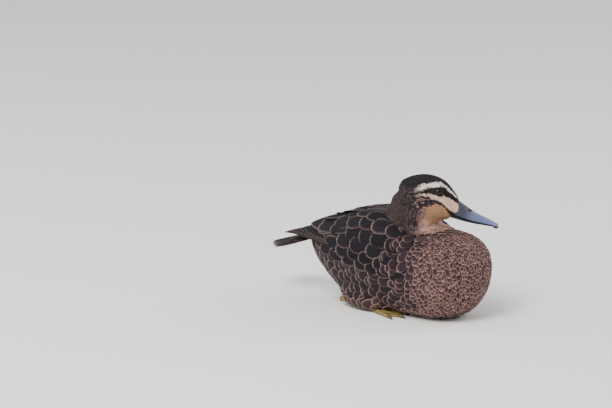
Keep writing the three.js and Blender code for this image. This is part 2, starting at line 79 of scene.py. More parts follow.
def only(piece):
    """Selects one object and makes it active."""
    bpy.ops.object.select_all(action="DESELECT")
    piece.select_set(True)
    bpy.context.view_layer.objects.active = piece


def in_scene(name, data):
    """A new object in the scene."""
    made = bpy.data.objects.new(name, data)
    bpy.context.scene.collection.objects.link(made)
    return made


def new_piece(name, points, faces):
    """A mesh object from points in millimetres."""
    mesh = bpy.data.meshes.new(name)
    mesh.from_pydata([tuple(q) for q in np.asarray(points) * 0.001], [], faces)
    return in_scene(name, mesh)


def skinned(piece, voxel, smoothing, swell=0.0):
    """Turns an object's solids into one smoothed skin over them all, swelled first where asked."""
    only(piece)
    if swell:
        swelled = piece.modifiers.new("swell", "DISPLACE")
        swelled.strength = swell
        swelled.mid_level = 0
    joined = piece.modifiers.new("join", "REMESH")
    joined.mode = "VOXEL"
    joined.voxel_size = voxel
    softened = piece.modifiers.new("soften", "SMOOTH")
    softened.factor = 0.5
    softened.iterations = smoothing
    for modifier in [step.name for step in piece.modifiers]:
        bpy.ops.object.modifier_apply(modifier=modifier)
    return piece


def copies_of(nodes):
    """The meshes of several solids in one."""
    bm = bmesh.new()
    for solid in nodes:
        bm.from_mesh(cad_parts[solid].data)
    return bm


def outline_over(name, nodes, puffs=()):
    """One closed, smoothed surface over copies of solids and round puffs of loose feathers."""
    bm = copies_of(nodes)
    for centre, size in puffs:
        place = Matrix.LocRotScale(Vector(centre) * 0.001, None, Vector(size) * 0.001)
        bmesh.ops.create_icosphere(bm, subdivisions=4, radius=1, matrix=place)
    bmesh.ops.remove_doubles(bm, verts=bm.verts, dist=1e-6)
    mesh = bpy.data.meshes.new(name)
    bm.to_mesh(mesh)
    bm.free()
    return skinned(in_scene(name, mesh), voxel=0.0016, smoothing=10, swell=0.0005)


def arrays_of(piece):
    """A mesh's points in millimetres, its point normals, and its polygons as lists of point numbers."""
    mesh = piece.data
    points = np.zeros(len(mesh.vertices) * 3)
    normals = np.zeros(len(mesh.vertices) * 3)
    mesh.vertices.foreach_get("co", points)
    mesh.vertex_normals.foreach_get("vector", normals)
    return points.reshape(-1, 3) * 1000, normals.reshape(-1, 3), [tuple(f.vertices) for f in mesh.polygons]


def ramp(value, low, high):
    """0 below low, 1 above high, and smooth between."""
    t = np.clip((value - low) / (high - low), 0, 1)
    return t * t * (3 - 2 * t)


def blend(a, b, t):
    """From a to b by t, for single values, rows of values or rows of colours."""
    a, b, t = np.asarray(a, float), np.asarray(b, float), np.asarray(t, float)
    if max(a.ndim, b.ndim) > t.ndim or (a.ndim == 1 and b.ndim == 1 and a.shape == (3,) and t.ndim == 1):
        t = t[..., None]
    return a + (b - a) * t


def linear(code):
    """An sRGB hex colour as linear red, green and blue."""
    c = np.array([int(code[i : i + 2], 16) / 255 for i in (1, 3, 5)])
    return np.where(c <= 0.04045, c / 12.92, ((c + 0.055) / 1.055) ** 2.4)


def paint(mesh, layer_name, colour):
    """Gives each point of a mesh its colour, in a layer of that name."""
    layer = mesh.color_attributes.new(layer_name, "FLOAT_COLOR", "POINT")
    opaque = np.column_stack([colour, np.ones(len(colour))])
    layer.data.foreach_set("color", opaque.astype(np.float32).ravel())


def wander(p, size, seed=0):
    """Slow noise between about -1 and 1 over points, with lumps of the given size in millimetres."""
    shift = Vector((seed * 7.3, seed * 3.1, seed * 5.7))
    return np.array([noise.noise(Vector(q) / size + shift) for q in p]) * 1.6


# Where each stripe of the face begins, as heights above the head's axis: the same on both sides.
FACE_X = (-26, -18, -12, -4, 1, 7, 14, 20, 24, 30, 35)
BROW_TOP = (2.5, 9.2, 12.9, 17.0, 18.9, 19.6, 17.0, 13.2, 10.7, 6.6, 3.2)
BROW_LOW = (0.0, 3.8, 7.4, 11.6, 14.5, 16.4, 14.6, 10.6, 8.6, 4.9, 2.0)
EYE_LINE_LOW = (-2.0, -0.3, 2.2, 4.1, 4.2, 4.5, 4.9, 4.6, 2.9, 0.6, -2.0)
CHEEK_LOW = (-3.0, -0.8, 0.8, 1.2, 0.2, -0.5, -2.6, -6.8, -8.8, -11.2, -11.6)
JAW_LINE_LOW = (-7.0, -9.0, -11.0, -12.0, -9.5, -4.8, -5.6, -9.0, -12.6, -18.5, -20.0)
FACE_LINES = (BROW_TOP, BROW_LOW, EYE_LINE_LOW, CHEEK_LOW, JAW_LINE_LOW)

CROWN = linear("#1a151b")
BROW = linear("#f8e5da")
EYE_LINE = linear("#130f14")
CHEEK = linear("#e4c3ac")
JAW_LINE = linear("#2c1f1e")
THROAT = linear("#ae8563")
SIDE_DARK = linear("#281e25")
SIDE_PALE = linear("#a9837a")
FORENECK = linear("#e0b3a2")

# The plane where the head's feathers end, and the height of the trunk's middle line.
THROAT_AT = np.array([66.0, -6.0, 125.0])
THROAT_UP = np.array([0.22, 0.187, 0.957])
TRUNK_MIDDLE = 60


def down_the_side(b, middle=TRUNK_MIDDLE):
    """Degrees round the trunk from the top of the back, down either side."""
    return np.degrees(np.arctan2(np.abs(b[:, 1]), b[:, 2] - middle))


def above_chin(h):
    """Height of points of the head above its underside, which rises towards the bill."""
    return h[:, 2] + 33 - 0.66 * np.maximum(h[:, 0] - 8, 0)


def face_colour(h, grain, streak):
    """Colour of the head at points in its own axes. grain is -1 to 1 and breaks the stripes' edges up."""
    x, side = h[:, 0], np.abs(h[:, 1])
    z = h[:, 2] + (0.55 + 1.3 * ramp(-x, -2, 16)) * grain
    brow_top, brow_low, eye_low, cheek_low, jaw_low = (np.interp(x, FACE_X, row) for row in FACE_LINES)
    colour = np.tile(CROWN, (len(h), 1))
    frayed = ramp(-x, 8, 24)
    streaked = blend(SIDE_DARK, SIDE_PALE, streak * 0.85)
    colour = blend(colour, BROW, ((z < brow_top) & (side > 3.2)) * 1.0)
    colour = blend(colour, EYE_LINE, (z < brow_low) * 1.0)
    behind_eye = ramp(-x, 2, 12) * ramp(z, eye_low + 2.5, brow_low - 1)
    colour = blend(colour, streaked, (z < brow_low) * behind_eye * 0.6)
    colour = blend(colour, CHEEK, (z < eye_low) * 1.0)
    colour = blend(colour, blend(JAW_LINE, streaked, ramp(-x, -12, 0) * 0.9), (z < cheek_low) * 1.0)
    under = (z < jaw_low) * 1.0
    plain = ramp(x + 2.0 * grain, -7, 2)
    throat = blend(streaked, THROAT, plain)
    throat = blend(throat, FORENECK, 0.5 * ramp(-z, 22, 30))
    colour = blend(colour, throat, under)
    colour = blend(colour, streaked, frayed * (z < brow_top + 1) * ramp(-z, -16, -4) * 0.85)
    colour = blend(colour, CROWN, ramp(-x, 24, 30) * ramp(z, -2, 6))
    nape = blend(CROWN, SIDE_PALE, streak * 0.25)
    colour = blend(colour, nape, ramp(-x, 12, 24) * ramp(-z, -10, 0))
    # Painted shade: the middle of the chin's underside just behind the bill is darkened towards the jaw
    # line's colour, for the shade under the bill.
    colour = blend(colour, JAW_LINE, ramp(x, 20, 26) * ramp(-z, 16.5, 19) * ramp(6 - side, 0, 4) * 0.6)
    return colour


REGIONS = {
    "back": dict(every=7.4, long=27, wide=17, deep=4.0, ground="#1a1418", fringe="#66524e", rim=0.8),
    "flank": dict(every=7.4, long=27, wide=15.5, deep=4.6, ground="#231a1f", fringe="#8c6d66", rim=1.0),
    "belly": dict(every=7.0, long=21, wide=13, deep=2.6, ground="#584539", fringe="#9c7f6c", rim=2.0),
    "rump": dict(every=6.6, long=24, wide=14.5, deep=4.0, ground="#171214", fringe="#5c4943", rim=0.8),
    "breast": dict(every=3.5, long=11.5, wide=6.0, deep=3.0, ground="#2f2126", fringe="#a78075", rim=1.0),
    "neck": dict(every=0.95, long=6.5, wide=1.3, deep=1.8, ground="#2a1f22", fringe="#a07a69", rim=0.3),
    "head": dict(every=0.68, long=4.0, wide=0.95, deep=1.1, ground="#2a1f22", fringe="#2a1f22", rim=0.3),
}
for region in REGIONS.values():
    region["ground"] = linear(region["ground"])
    region["fringe"] = linear(region["fringe"])


def plumage(p, seed=None):
    """The coat at points of the bird: feather sizes in millimetres, ground and fringe colours, and how much
    is head. With a seed, the colours vary from feather to feather."""
    b, h = p - BODY_AT, to_head(p)
    x, z = b[:, 0], b[:, 2]
    angle = down_the_side(b)
    above = (p - THROAT_AT) @ THROAT_UP
    by_neck = ramp(1.15 - np.hypot((x - 27) / 35, b[:, 1] / 34), 0, 0.2)
    under_breast = np.maximum(1 - ramp(x, 78, 104), ramp(14 - z, 0, 8))
    share = {
        "back": 1.0,
        "flank": ramp(angle, 62, 82),
        "belly": ramp(angle, 128, 150) * under_breast * ramp(x, -88, -62),
        "rump": ramp(-x, 64, 96),
        "breast": ramp(x, 24, 82) * np.maximum(ramp(165 - angle, 0, 20), ramp(x, 74, 98)),
        "neck": np.maximum(ramp(z, 97, 110) * by_neck, ramp(z, 118, 124)),
        "head": np.maximum(ramp(above, -3, 5), ramp(h[:, 0], -8, 0) * ramp(above_chin(h), -1.5, 0.5)),
    }
    coat = {key: np.tile(np.asarray(value, float), (len(p), 1)) for key, value in REGIONS["back"].items()}
    for name, amount in share.items():
        for key, value in REGIONS[name].items():
            sooner = 3 if name == "neck" and key not in ("ground", "fringe") else 1
            share_here = np.minimum(1, sooner * amount * np.ones(len(p)))
            coat[key] = blend(coat[key], np.tile(np.asarray(value, float), (len(p), 1)), share_here[:, None])
    coat = {key: value if value.shape[1] == 3 else value[:, 0] for key, value in coat.items()}

    grain, streak, face_streak = np.zeros((3, len(p)))
    if seed is not None:
        grain = np.random.default_rng(seed).uniform(-1, 1, len(p))
        streak = ramp(wander(p * np.array([1, 1, 0.25]), 1.3, 3), 0.1, 0.5)
        face_streak = ramp(wander(h * np.array([0.25, 1, 1]), 1.3, 4), 0.1, 0.5)
    round_neck = b[:, :2] - np.array([30.0, -3.0])
    facing = round_neck @ np.array([0.956, 0.29]) / (np.linalg.norm(round_neck, axis=1) + 1e-6)
    fore, hind = ramp(facing, 0.25, 0.75), ramp(-facing, -0.35, 0.4)
    on_neck = share["neck"] * (1 - share["head"])
    speckle = blend(SIDE_DARK, SIDE_PALE, streak * 0.62)
    ground = blend(coat["ground"], speckle, on_neck[:, None])
    fringe = blend(coat["fringe"], speckle * 1.15, on_neck[:, None])
    ground = blend(ground, FORENECK, (on_neck * fore * (0.8 + 0.2 * grain))[:, None])
    ground = blend(ground, CROWN, (on_neck * hind * 0.92)[:, None])
    fringe = blend(fringe, FORENECK * 1.1, (on_neck * fore)[:, None])
    fringe = blend(fringe, SIDE_PALE * 0.24, (on_neck * hind * 0.92)[:, None])
    face = face_colour(h, grain, face_streak)
    on_head = share["head"][:, None]
    coat["ground"] = blend(ground, face, on_head)
    coat["fringe"] = blend(fringe, face, on_head)
    small = share["breast"] * ramp(z, 66, 106) * (1 - share["neck"])
    for key, factor in (("every", 0.68), ("long", 0.72), ("wide", 0.66), ("rim", 0.8), ("deep", 0.85)):
        coat[key] = coat[key] * (1 - (1 - factor) * small)
    near_bill = share["head"] * ramp(h[:, 0], 2, 26)
    for key, least in (("every", 0.56), ("long", 2.3), ("wide", 0.75), ("deep", 0.65)):
        coat[key] = blend(coat[key], least, near_bill)
    coat["head"] = share["head"]
    coat["neck"] = on_neck
    return coat


HEAD_PIECES = ("bill_upper", "bill_lower", "eye_left", "eye_right")
flesh_form = outline_over("flesh form", FLESH + HEAD_PIECES)
flesh_points, flesh_normals, flesh_faces = arrays_of(flesh_form)
bpy.data.objects.remove(flesh_form)
skin = new_piece("skin", flesh_points, flesh_faces)
skin_coat = plumage(flesh_points)
skin_points = flesh_points - flesh_normals * (skin_coat["deep"] + 0.25)[:, None]
skin_points[:, 2] = np.maximum(skin_points[:, 2], 0.4)
in_bill = to_head(skin_points)
at_bill = (in_bill[:, 0] > 33) & (np.abs(in_bill[:, 1]) < 14) & (in_bill[:, 2] > -23) & (in_bill[:, 2] < 12)
in_bill[at_bill, 0] = 33
skin_points[at_bill] = from_head(in_bill[at_bill])
skin.data.vertices.foreach_set("co", (skin_points * 0.001).ravel())
skin.data.shade_smooth()
skin_tone = plumage(skin_points)
skin_colour = blend(skin_tone["ground"], skin_tone["fringe"], np.full((len(skin_points), 1), 0.25)) * 0.8
paint(skin.data, "ground", skin_colour)


def node(tree, kind, inputs=None, **settings):
    """Adds a shader node; inputs may be values or other nodes' sockets."""
    made = tree.nodes.new(kind)
    for key, value in settings.items():
        setattr(made, key, value)
    for key, value in (inputs or {}).items():
        if isinstance(value, bpy.types.NodeSocket):
            tree.links.new(value, made.inputs[key])
        else:
            made.inputs[key].default_value = value
    return made


def material(name, **fixed):
    """A new material and its shader, with constants set on the shader's own sockets."""
    made = bpy.data.materials.new(name)
    made.use_nodes = True
    shader = made.node_tree.nodes["Principled BSDF"]
    for key, value in fixed.items():
        shader.inputs[key.replace("_", " ")].default_value = value
    return made, made.node_tree, shader


def carried(tree, layer_name, output="Color"):
    """What the mesh carries in a layer, as a colour or, from the output Fac, as a value."""
    return node(tree, "ShaderNodeAttribute", attribute_name=layer_name).outputs[output]


def on_object(tree):
    return node(tree, "ShaderNodeTexCoord").outputs["Object"]


def mottled(tree, place, scale, detail, **more):
    """Noise between 0 and 1."""
    inputs = {"Vector": place, "Scale": scale, "Detail": detail, **more}
    return node(tree, "ShaderNodeTexNoise", inputs).outputs["Fac"]


def finished(tree, shader, colour, height, strength, distance):
    """Gives a shader its colour, and fine relief by a height."""
    relief = node(tree, "ShaderNodeBump", {"Height": height, "Strength": strength, "Distance": distance})
    tree.links.new(colour, shader.inputs["Base Color"])
    tree.links.new(relief.outputs["Normal"], shader.inputs["Normal"])


down, tree, shader = material("short down", Roughness=0.9)
finished(tree, shader, carried(tree, "ground"), mottled(tree, on_object(tree), 900.0, 4.0), 0.6, 0.0006)
skin.data.materials.append(down)
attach(skin, "root")
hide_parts(*FLESH)


# ---- Body feathers -------------------------------------------------------------------------------
# The contour feathers: soft overlapping vanes rooted in the skin, each rising from its root to the
# outline at its tip, smallest on the face. Their rows run from bill to tail down every side.

SIDES = (("left", 1), ("right", -1))
WING_PIECES = tuple(f"{part}_{side}" for part in ("wing", "scapulars", "tertials") for side, _ in SIDES)
# The loose flank feathers that hide the folded legs stand out as a low round puff on each side.
THIGH_PUFFS = [((13.0, side * 32.0, 16.0), (41.0, 18.0, 16.5)) for _, side in SIDES]
coat_form = outline_over("coat form", FLESH + HEAD_PIECES + WING_PIECES, THIGH_PUFFS)
evened = bmesh.new()
evened.from_mesh(coat_form.data)
on_back = [v for v in evened.verts if v.co.x < 0.07 and v.co.z < 0.128]
below = [v for v in on_back if v.co.z < 0.05]
for patch, rounds in ((on_back, 45), (below, 60)):
    for _ in range(rounds):
        bmesh.ops.smooth_vert(
            evened, verts=patch, factor=0.5, use_axis_x=True, use_axis_y=True, use_axis_z=True
        )
evened.to_mesh(coat_form.data)
evened.free()
coat_points, coat_normals, coat_faces = arrays_of(coat_form)
bpy.data.objects.remove(coat_form)
coat_tree = BVHTree.FromPolygons([tuple(q) for q in coat_points], coat_faces)
FACE_NORMALS = np.array([coat_normals[list(f)].mean(0) for f in coat_faces])


def unit(v, least=0.0):
    """Rows of vectors brought to length 1; least keeps empty ones from dividing by zero."""
    return v / (np.linalg.norm(v, axis=-1, keepdims=True) + least)


def settle(points):
    """The nearest places on the coat's outline, and its smoothed normals there."""
    placed, up = np.empty_like(points), np.empty_like(points)
    for i, q in enumerate(points):
        placed[i], _, face, _ = coat_tree.find_nearest(q)
        up[i] = FACE_NORMALS[face]
    return round_the_eyes(placed, unit(up))


# The eyeball under the lids is larger than the part that shows, and looks a little up and forward.
EYE_ROUND = 7.4
EYE_LOOK = np.array([0.1, 0.965, 0.24])
EYE_LOOK = EYE_LOOK / np.linalg.norm(EYE_LOOK)
EYE_AT = np.array([6.9, 12.0, 8.1]) - 2.0 * EYE_LOOK
EYE_ACROSS = np.cross(EYE_LOOK, [0, 0, 1.0])
EYE_ACROSS = EYE_ACROSS / np.linalg.norm(EYE_ACROSS)
EYE_UP = np.cross(EYE_ACROSS, EYE_LOOK)
LID_WIDE, LID_HIGH, LID_LOW = 6.2, 4.6, 0.6
LID_STAND = 0.35


def eye_frame(h):
    """Points of the head as the nearer eye has them: forward, up and out from the ball's centre."""
    off = np.column_stack([h[:, 0], np.abs(h[:, 1]), h[:, 2]]) - EYE_AT
    return off @ EYE_ACROSS, off @ EYE_UP, off @ EYE_LOOK


def round_eye(h):
    """1 on the outer rim of the lids, less inside it and more outside."""
    across, high, out = eye_frame(h)
    return np.where(out > 0, np.hypot(across / LID_WIDE, (high + LID_LOW) / LID_HIGH), 9.0)


def round_the_eyes(placed, up):
    """Raises or sinks the outline so that it meets the lids all round each eye."""
    h = to_head(placed)
    near = round_eye(h) < 2.1
    if not near.any():
        return placed, up
    across, high, out = eye_frame(h[near])
    from_eye = round_eye(h[near])
    held = np.minimum(1, 1.08 / from_eye)
    level = np.sqrt((EYE_ROUND + LID_STAND) ** 2 - (across * held) ** 2 - (high * held) ** 2)
    share = 1 - ramp(from_eye, 1.0, 2.1)
    side = np.where(h[near][:, 1] < 0, -1, 1)[:, None] * np.array([[0, 1, 0]]) + np.array([[1, 0, 1]])
    moved = h[near] + EYE_LOOK * side * ((level - out) * share)[:, None]
    placed[near] = from_head(moved)
    ball_up = (across[:, None] * EYE_ACROSS + high[:, None] * EYE_UP + level[:, None] * EYE_LOOK) * side
    up[near] = unit(blend(up[near], unit(ball_up) @ HEAD_AXES.T, share[:, None] * 0.7))
    return placed, up


def laid_flat(flow, up):
    """A way to lie, brought into the surface whose outward side is up."""
    flow = flow - up * np.sum(flow * up, axis=1)[:, None]
    return unit(flow, 1e-9)


def heading(p, up):
    """The way that feathers lie at points on the bird."""
    b, h = p - BODY_AT, to_head(p)
    above = (p - THROAT_AT) @ THROAT_UP
    on_head = ramp(above, -4, 10) * ramp(h[:, 0], -34, -18)
    on_head = np.maximum(on_head, ramp(h[:, 0], -8, 2) * ramp(above_chin(h), -1.5, 1.5))
    on_neck = ramp(b[:, 2], 98, 116) * ramp(1.25 - np.hypot((b[:, 0] - 31) / 42, b[:, 1] / 37), 0, 0.25)
    side = np.where(h[:, 1] < 0, -1.0, 1.0)
    nape_fall = 0.5 * ramp(-h[:, 2], 0, 20) * ramp(-h[:, 0], 0, 20)
    flow_head = np.column_stack([-np.ones(len(p)), 0.12 * side, -0.16 - nape_fall])
    across, high, _ = eye_frame(h)
    off_eye = across[:, None] * EYE_ACROSS + high[:, None] * EYE_UP
    off_eye[:, 1] *= side
    reach = round_eye(h)[:, None]
    flow_head = flow_head + unit(off_eye, 1e-6) * (1 - ramp(reach, 1.2, 2.0))
    flow_head = flow_head @ HEAD_AXES.T
    flow_neck = np.tile([-0.25, 0.0, -1.0], (len(p), 1))
    from_neck = unit(b[:, :2] - np.array([31.0, 0.0]), 1e-6)
    outward = 0.95 * ramp(b[:, 2], 10, 78)
    forward = outward * from_neck[:, 0] - 0.35
    flow_breast = np.column_stack([forward, outward * from_neck[:, 1], -np.ones(len(p))])
    ahead = ramp(b[:, 0], 22, 72) * ramp(up[:, 2], -0.95, -0.45)
    flow = blend(np.tile([-1.0, 0.0, -0.22], (len(p), 1)), flow_breast, ahead[:, None])
    flow = blend(flow, flow_neck, on_neck[:, None])
    flow = blend(flow, flow_head, on_head[:, None])
    return laid_flat(flow, up)


def walk(roots, long, t, way=heading, swing=0.0, stiff=0.0):
    """Lays a spine from each root along the coat's outline. A stiff one keeps one even bend."""
    spine, ups = np.empty((len(t), len(roots), 3)), np.empty((len(t), len(roots), 3))
    spine[0], ups[0] = settle(roots)
    for k in range(1, len(t)):
        on = way(spine[k - 1], ups[k - 1])
        on = on * np.cos(swing)[:, None] + np.cross(ups[k - 1], on) * np.sin(swing)[:, None]
        spine[k], ups[k] = settle(spine[k - 1] + on * (long * (t[k] - t[k - 1]))[:, None])
    if stiff:
        for rows in (spine, ups):
            bend = polynomial.polyfit(t, rows.reshape(len(t), -1), 2)
            even = polynomial.polyval(t, bend).T.reshape(rows.shape)
            rows[:] = blend(rows, even, stiff * np.ones((1, 1, 1)))
    return spine, ups


def scattered(points, normals, faces, spacing, keep, seed):
    """Roots spread evenly over a surface, about spacing(points) apart, where keep(points) is true."""
    draw = np.random.default_rng(seed)
    fans = np.array([(f[0], f[k], f[k + 1]) for f in faces for k in range(1, len(f) - 1)])
    a, b, c = points[fans[:, 0]], points[fans[:, 1]], points[fans[:, 2]]
    middle = (a + b + c) / 3
    area = np.linalg.norm(np.cross(b - a, c - a), axis=1) / 2
    number = draw.poisson(np.where(keep(middle), 4.0 * area / spacing(middle) ** 2, 0))
    which = np.repeat(np.arange(len(fans)), number)
    u, v = draw.uniform(0, 1, (2, len(which)))
    flip = u + v > 1
    u[flip], v[flip] = 1 - u[flip], 1 - v[flip]
    spots = a[which] + (b - a)[which] * u[:, None] + (c - a)[which] * v[:, None]
    up = normals[fans[which]].mean(1)
    chosen = keep(spots)
    spots, up = spots[chosen], up[chosen]
    order = draw.permutation(len(spots))
    spots, up = spots[order], up[order]
    apart = spacing(spots)
    index = KDTree(len(spots))
    for i, q in enumerate(spots):
        index.insert(q, i)
    index.balance()
    free = np.ones(len(spots), bool)
    taken = []
    for i in range(len(spots)):
        if not free[i]:
            continue
        taken.append(i)
        for _, j, _ in index.find_range(spots[i], apart[i]):
            free[j] = False
    return spots[taken], unit(up[taken])


# Where the face's feathers meet the bill: heights above the head's axis, and how far forward they end.
BORDER_HEIGHTS = (-26, -20, -17, -15, -13, -10, -6, 0, 4)
BORDER_FORWARD = (29, 28.6, 26.5, 26, 31, 35.8, 36, 34.5, 32.5)


def on_bill(h):
    """Whether points in the head's axes are on the bill, in front of the feathers' border."""
    border = np.interp(h[:, 2], BORDER_HEIGHTS, BORDER_FORWARD)
    return (h[:, 0] > border) & (np.abs(h[:, 1]) < 14) & (h[:, 2] > -24) & (h[:, 2] < 12)


def tree_of(nodes):
    """A search tree over the solids, in metres."""
    bm = copies_of(nodes)
    tree = BVHTree.FromBMesh(bm)
    bm.free()
    return tree


wing_tree = tree_of(WING_PIECES)
body_tree = tree_of(WING_PIECES + ("breast", "belly_and_back", "rump"))
WING_MIDDLE = 62


def under_wing(p):
    """Whether points are on the folded wings, away from the edges that the body's feathers lap over."""
    b = p - BODY_AT
    x, angle = b[:, 0], down_the_side(b, WING_MIDDLE)
    upper = np.interp(x, (-70, 50), (15, 22))
    lower = np.interp(x, (-104, 50), (80, 99))
    under = (x < 40) & (b[:, 2] > 40) & ((angle > upper) & (angle < lower) | (x < -66))
    for i in np.flatnonzero(under):
        under[i] = wing_tree.find_nearest(p[i] * 0.001)[3] < 0.003
    return under


def in_the_open(p, up):
    """Whether nothing of the coat's outline hangs close over each point, on the back or under the chin."""
    room = np.where(p[:, 0] < 56, 16.0, 2.5)
    return np.array([coat_tree.ray_cast(q + n * 1.5, n, r)[0] is None for q, n, r in zip(p, up, room)])


def feathered(p):
    """Whether the coat's own feathers grow at points: not on bill, eyes, wings or the very floor."""
    h = to_head(p)
    return ~on_bill(h) & (round_eye(h) > 1.02) & (p[:, 2] > 0.8) & ~under_wing(p)


# A soft feather's outline: shares of the length, and of the full width there.
VANE_SHAPE = (
    (0, 0.12, 0.3, 0.5, 0.68, 0.82, 0.92, 0.975, 1.0),
    (0.3, 0.55, 0.84, 0.98, 1.0, 0.9, 0.68, 0.42, 0.16),
)


def vane_faces(stations, size):
    """Faces of one closed vane: bands between its rings of points, and a cap over each end."""
    faces = []
    for k in range(stations - 1):
        for i in range(size):
            j = (i + 1) % size
            faces.append((k * size + i, k * size + j, (k + 1) * size + j, (k + 1) * size + i))
    last = (stations - 1) * size
    for i in range(size // 2):
        j, m, n = i + 1, (size - i - 1) % size, (size - i) % size
        if i == 0:
            faces += [(j, i, m), (last + i, last + j, last + m)]
        elif j == m:
            faces += [(j, i, n), (last + n, last + i, last + j)]
        else:
            faces += [(m, j, i, n), (last + n, last + i, last + j, last + m)]
    return [face[::-1] for face in faces]


def repeated(name, points, faces, count):
    """A mesh of many closed shapes with the same faces, one shape's points after another's."""
    per = len(points) // count
    corner = np.concatenate([np.array(face) for face in faces])
    totals = np.tile(np.array([len(face) for face in faces]), count)
    loops = (corner[None, :] + per * np.arange(count)[:, None]).ravel()
    starts = np.concatenate([[0], np.cumsum(totals)[:-1]])
    mesh = bpy.data.meshes.new(name)
    mesh.vertices.add(len(points))
    mesh.vertices.foreach_set("co", (points * 0.001).astype(np.float32).ravel())
    mesh.loops.add(len(loops))
    mesh.loops.foreach_set("vertex_index", loops.astype(np.int32))
    mesh.polygons.add(len(totals))
    mesh.polygons.foreach_set("loop_start", starts.astype(np.int32))
    mesh.polygons.foreach_set("loop_total", totals.astype(np.int32))
    mesh.update(calc_edges=True)
    mesh.validate()
    return mesh, loops


def vanes(
    name, roots, coat, stations, columns, seed, thick=0.3, path=None,
    shape=VANE_SHAPE, patch=0.003, place=None, stiff=0.0, sides=1.7,
):
    """Feathers as one mesh of thin closed vanes, each along the lie of the coat or along its own path.
    The pale fringe is sides times wider at the tip than along the sides."""
    draw = np.random.default_rng(seed)
    count = len(roots)
    t = 1 - (1 - np.linspace(0, 1, stations)) ** 1.5
    long, wide, deep = coat["long"], coat["wide"], coat["deep"]
    swing = draw.normal(0, 0.1, count)
    spine, ups = walk(roots, long, t, heading, swing, stiff) if path is None else path(t)
    along = unit(np.gradient(spine, axis=0), 1e-9)
    across = unit(np.cross(ups, along), 1e-9)
    half = wide[None, :] / 2 * np.interp(t, *shape)[:, None]
    sunk = -deep[None, :] * (1 - t[:, None]) ** 1.25 * (0.85 + 0.3 * draw.uniform(0, 1, count))[None, :]
    sunk = sunk - 0.12 * deep[None, :] * draw.uniform(0, 1, count)[None, :]
    body = thick * (1 - 0.65 * t)[:, None] * np.ones(count)[None, :]
    steps = np.linspace(-1, 1, columns)
    ring = [(u, 1) for u in steps] + [(u, -1) for u in steps[-2:0:-1]]
    round_by = coat.get("round", np.full(count, 60.0))[None, :]
    roll = coat.get("roll", np.zeros(count))[None, :]
    ring_points, ring_rim, ring_vane = [], [], []
    tips = (1 - t)[:, None] * long[None, :]
    for u, face in ring:
        lift = sunk + face * body * (1 - u * u) - (half * u) ** 2 / (2 * round_by) + roll * half * u
        point = spine + across * (half * u)[:, :, None] + ups * lift[:, :, None]
        ring_points.append(point)
        ring_rim.append(np.minimum(sides * half * (1 - abs(u)), tips))
        ring_vane.append(np.stack([half * u, long[None, :] * t[:, None] * np.ones_like(half)], 2))
    # The stacks run by station, feather and place on the ring; the mesh wants each feather's in turn.
    points = np.stack(ring_points, 2).transpose(1, 0, 2, 3).reshape(-1, 3)
    points[:, 2] = np.maximum(points[:, 2], 0.15)
    rim = np.stack(ring_rim, 2) * draw.uniform(0.8, 1.35, count)[None, :, None]
    rim = rim.transpose(1, 0, 2).reshape(-1)
    vane = np.stack(ring_vane, 2).transpose(1, 0, 2, 3).reshape(-1, 2)
    per = stations * len(ring)
    mesh, loops = repeated(name, points, vane_faces(stations, len(ring)), count)
    for key in ("ground", "fringe"):
        paint(mesh, key, np.repeat(coat[key], per, axis=0))
    rim_share = rim / np.repeat(coat["rim"], per)
    lighter = np.repeat(draw.uniform(0, 1, count), per)
    for key, values in (("rim", rim_share), ("draw", lighter)):
        layer = mesh.attributes.new(key, "FLOAT", "POINT")
        layer.data.foreach_set("value", values.astype(np.float32))
    where = place if place is not None else unwrapped(roots, coat["head"])
    spread = vane / np.stack([np.repeat(wide, per), np.repeat(long, per)], 1) - np.array([0.0, 0.5])
    patches = np.repeat(where, per, axis=0) + spread * np.asarray(patch)
    for key, values in (("OFBake", patches), ("vane", vane)):
        layer = mesh.uv_layers.new(name=key)
        layer.data.foreach_set("uv", values[loops].astype(np.float32).ravel())
    mesh.shade_smooth()
    return in_scene(name, mesh)


def unwrapped(p, head):
    """The skin unwrapped: the head on one part of the sheet and the body on the rest."""
    b, h = p - BODY_AT, to_head(p)
    turn = np.arctan2(b[:, 1], b[:, 2] - TRUNK_MIDDLE) / (2 * math.pi)
    lean = np.arctan2((b[:, 0] + 8) / 2.2, np.hypot(b[:, 1], b[:, 2] - TRUNK_MIDDLE)) / math.pi
    on_body = np.stack([0.02 + 0.58 * (lean + 0.5), 0.02 + 0.96 * (turn + 0.5)], 1)
    turn = np.arctan2(h[:, 1], h[:, 2] + 4) / (2 * math.pi)
    on_head = np.stack([0.64 + 0.34 * (h[:, 0] + 46) / 84, 0.02 + 0.96 * (turn + 0.5)], 1)
    return np.clip(np.where((head > 0.5)[:, None], on_head, on_body), 0.005, 0.995)


def calc(tree, operation, *values):
    return node(tree, "ShaderNodeMath", dict(enumerate(values)), operation=operation).outputs[0]


def between(tree, value, low, high, first=0.0, last=1.0, kind="LINEAR"):
    """Goes from first to last as the value goes from low to high."""
    ends = {"Value": value, "From Min": low, "From Max": high, "To Min": first, "To Max": last}
    return node(tree, "ShaderNodeMapRange", ends, interpolation_type=kind).outputs[0]


def scaled(tree, colour, factor):
    return node(tree, "ShaderNodeVectorMath", {0: colour, "Scale": factor}, operation="SCALE").outputs[0]


def mixed(tree, share, first, second):
    return node(tree, "ShaderNodeMix", {0: share, 6: first, 7: second}, data_type="RGBA").outputs[2]


def on_vane(tree):
    """How far a place on a vane is off the shaft, and how far along it, in millimetres."""
    place = node(tree, "ShaderNodeUVMap", uv_map="vane")
    apart = node(tree, "ShaderNodeSeparateXYZ", {"Vector": place.outputs["UV"]})
    return calc(tree, "ABSOLUTE", apart.outputs["X"]), apart.outputs["Y"]


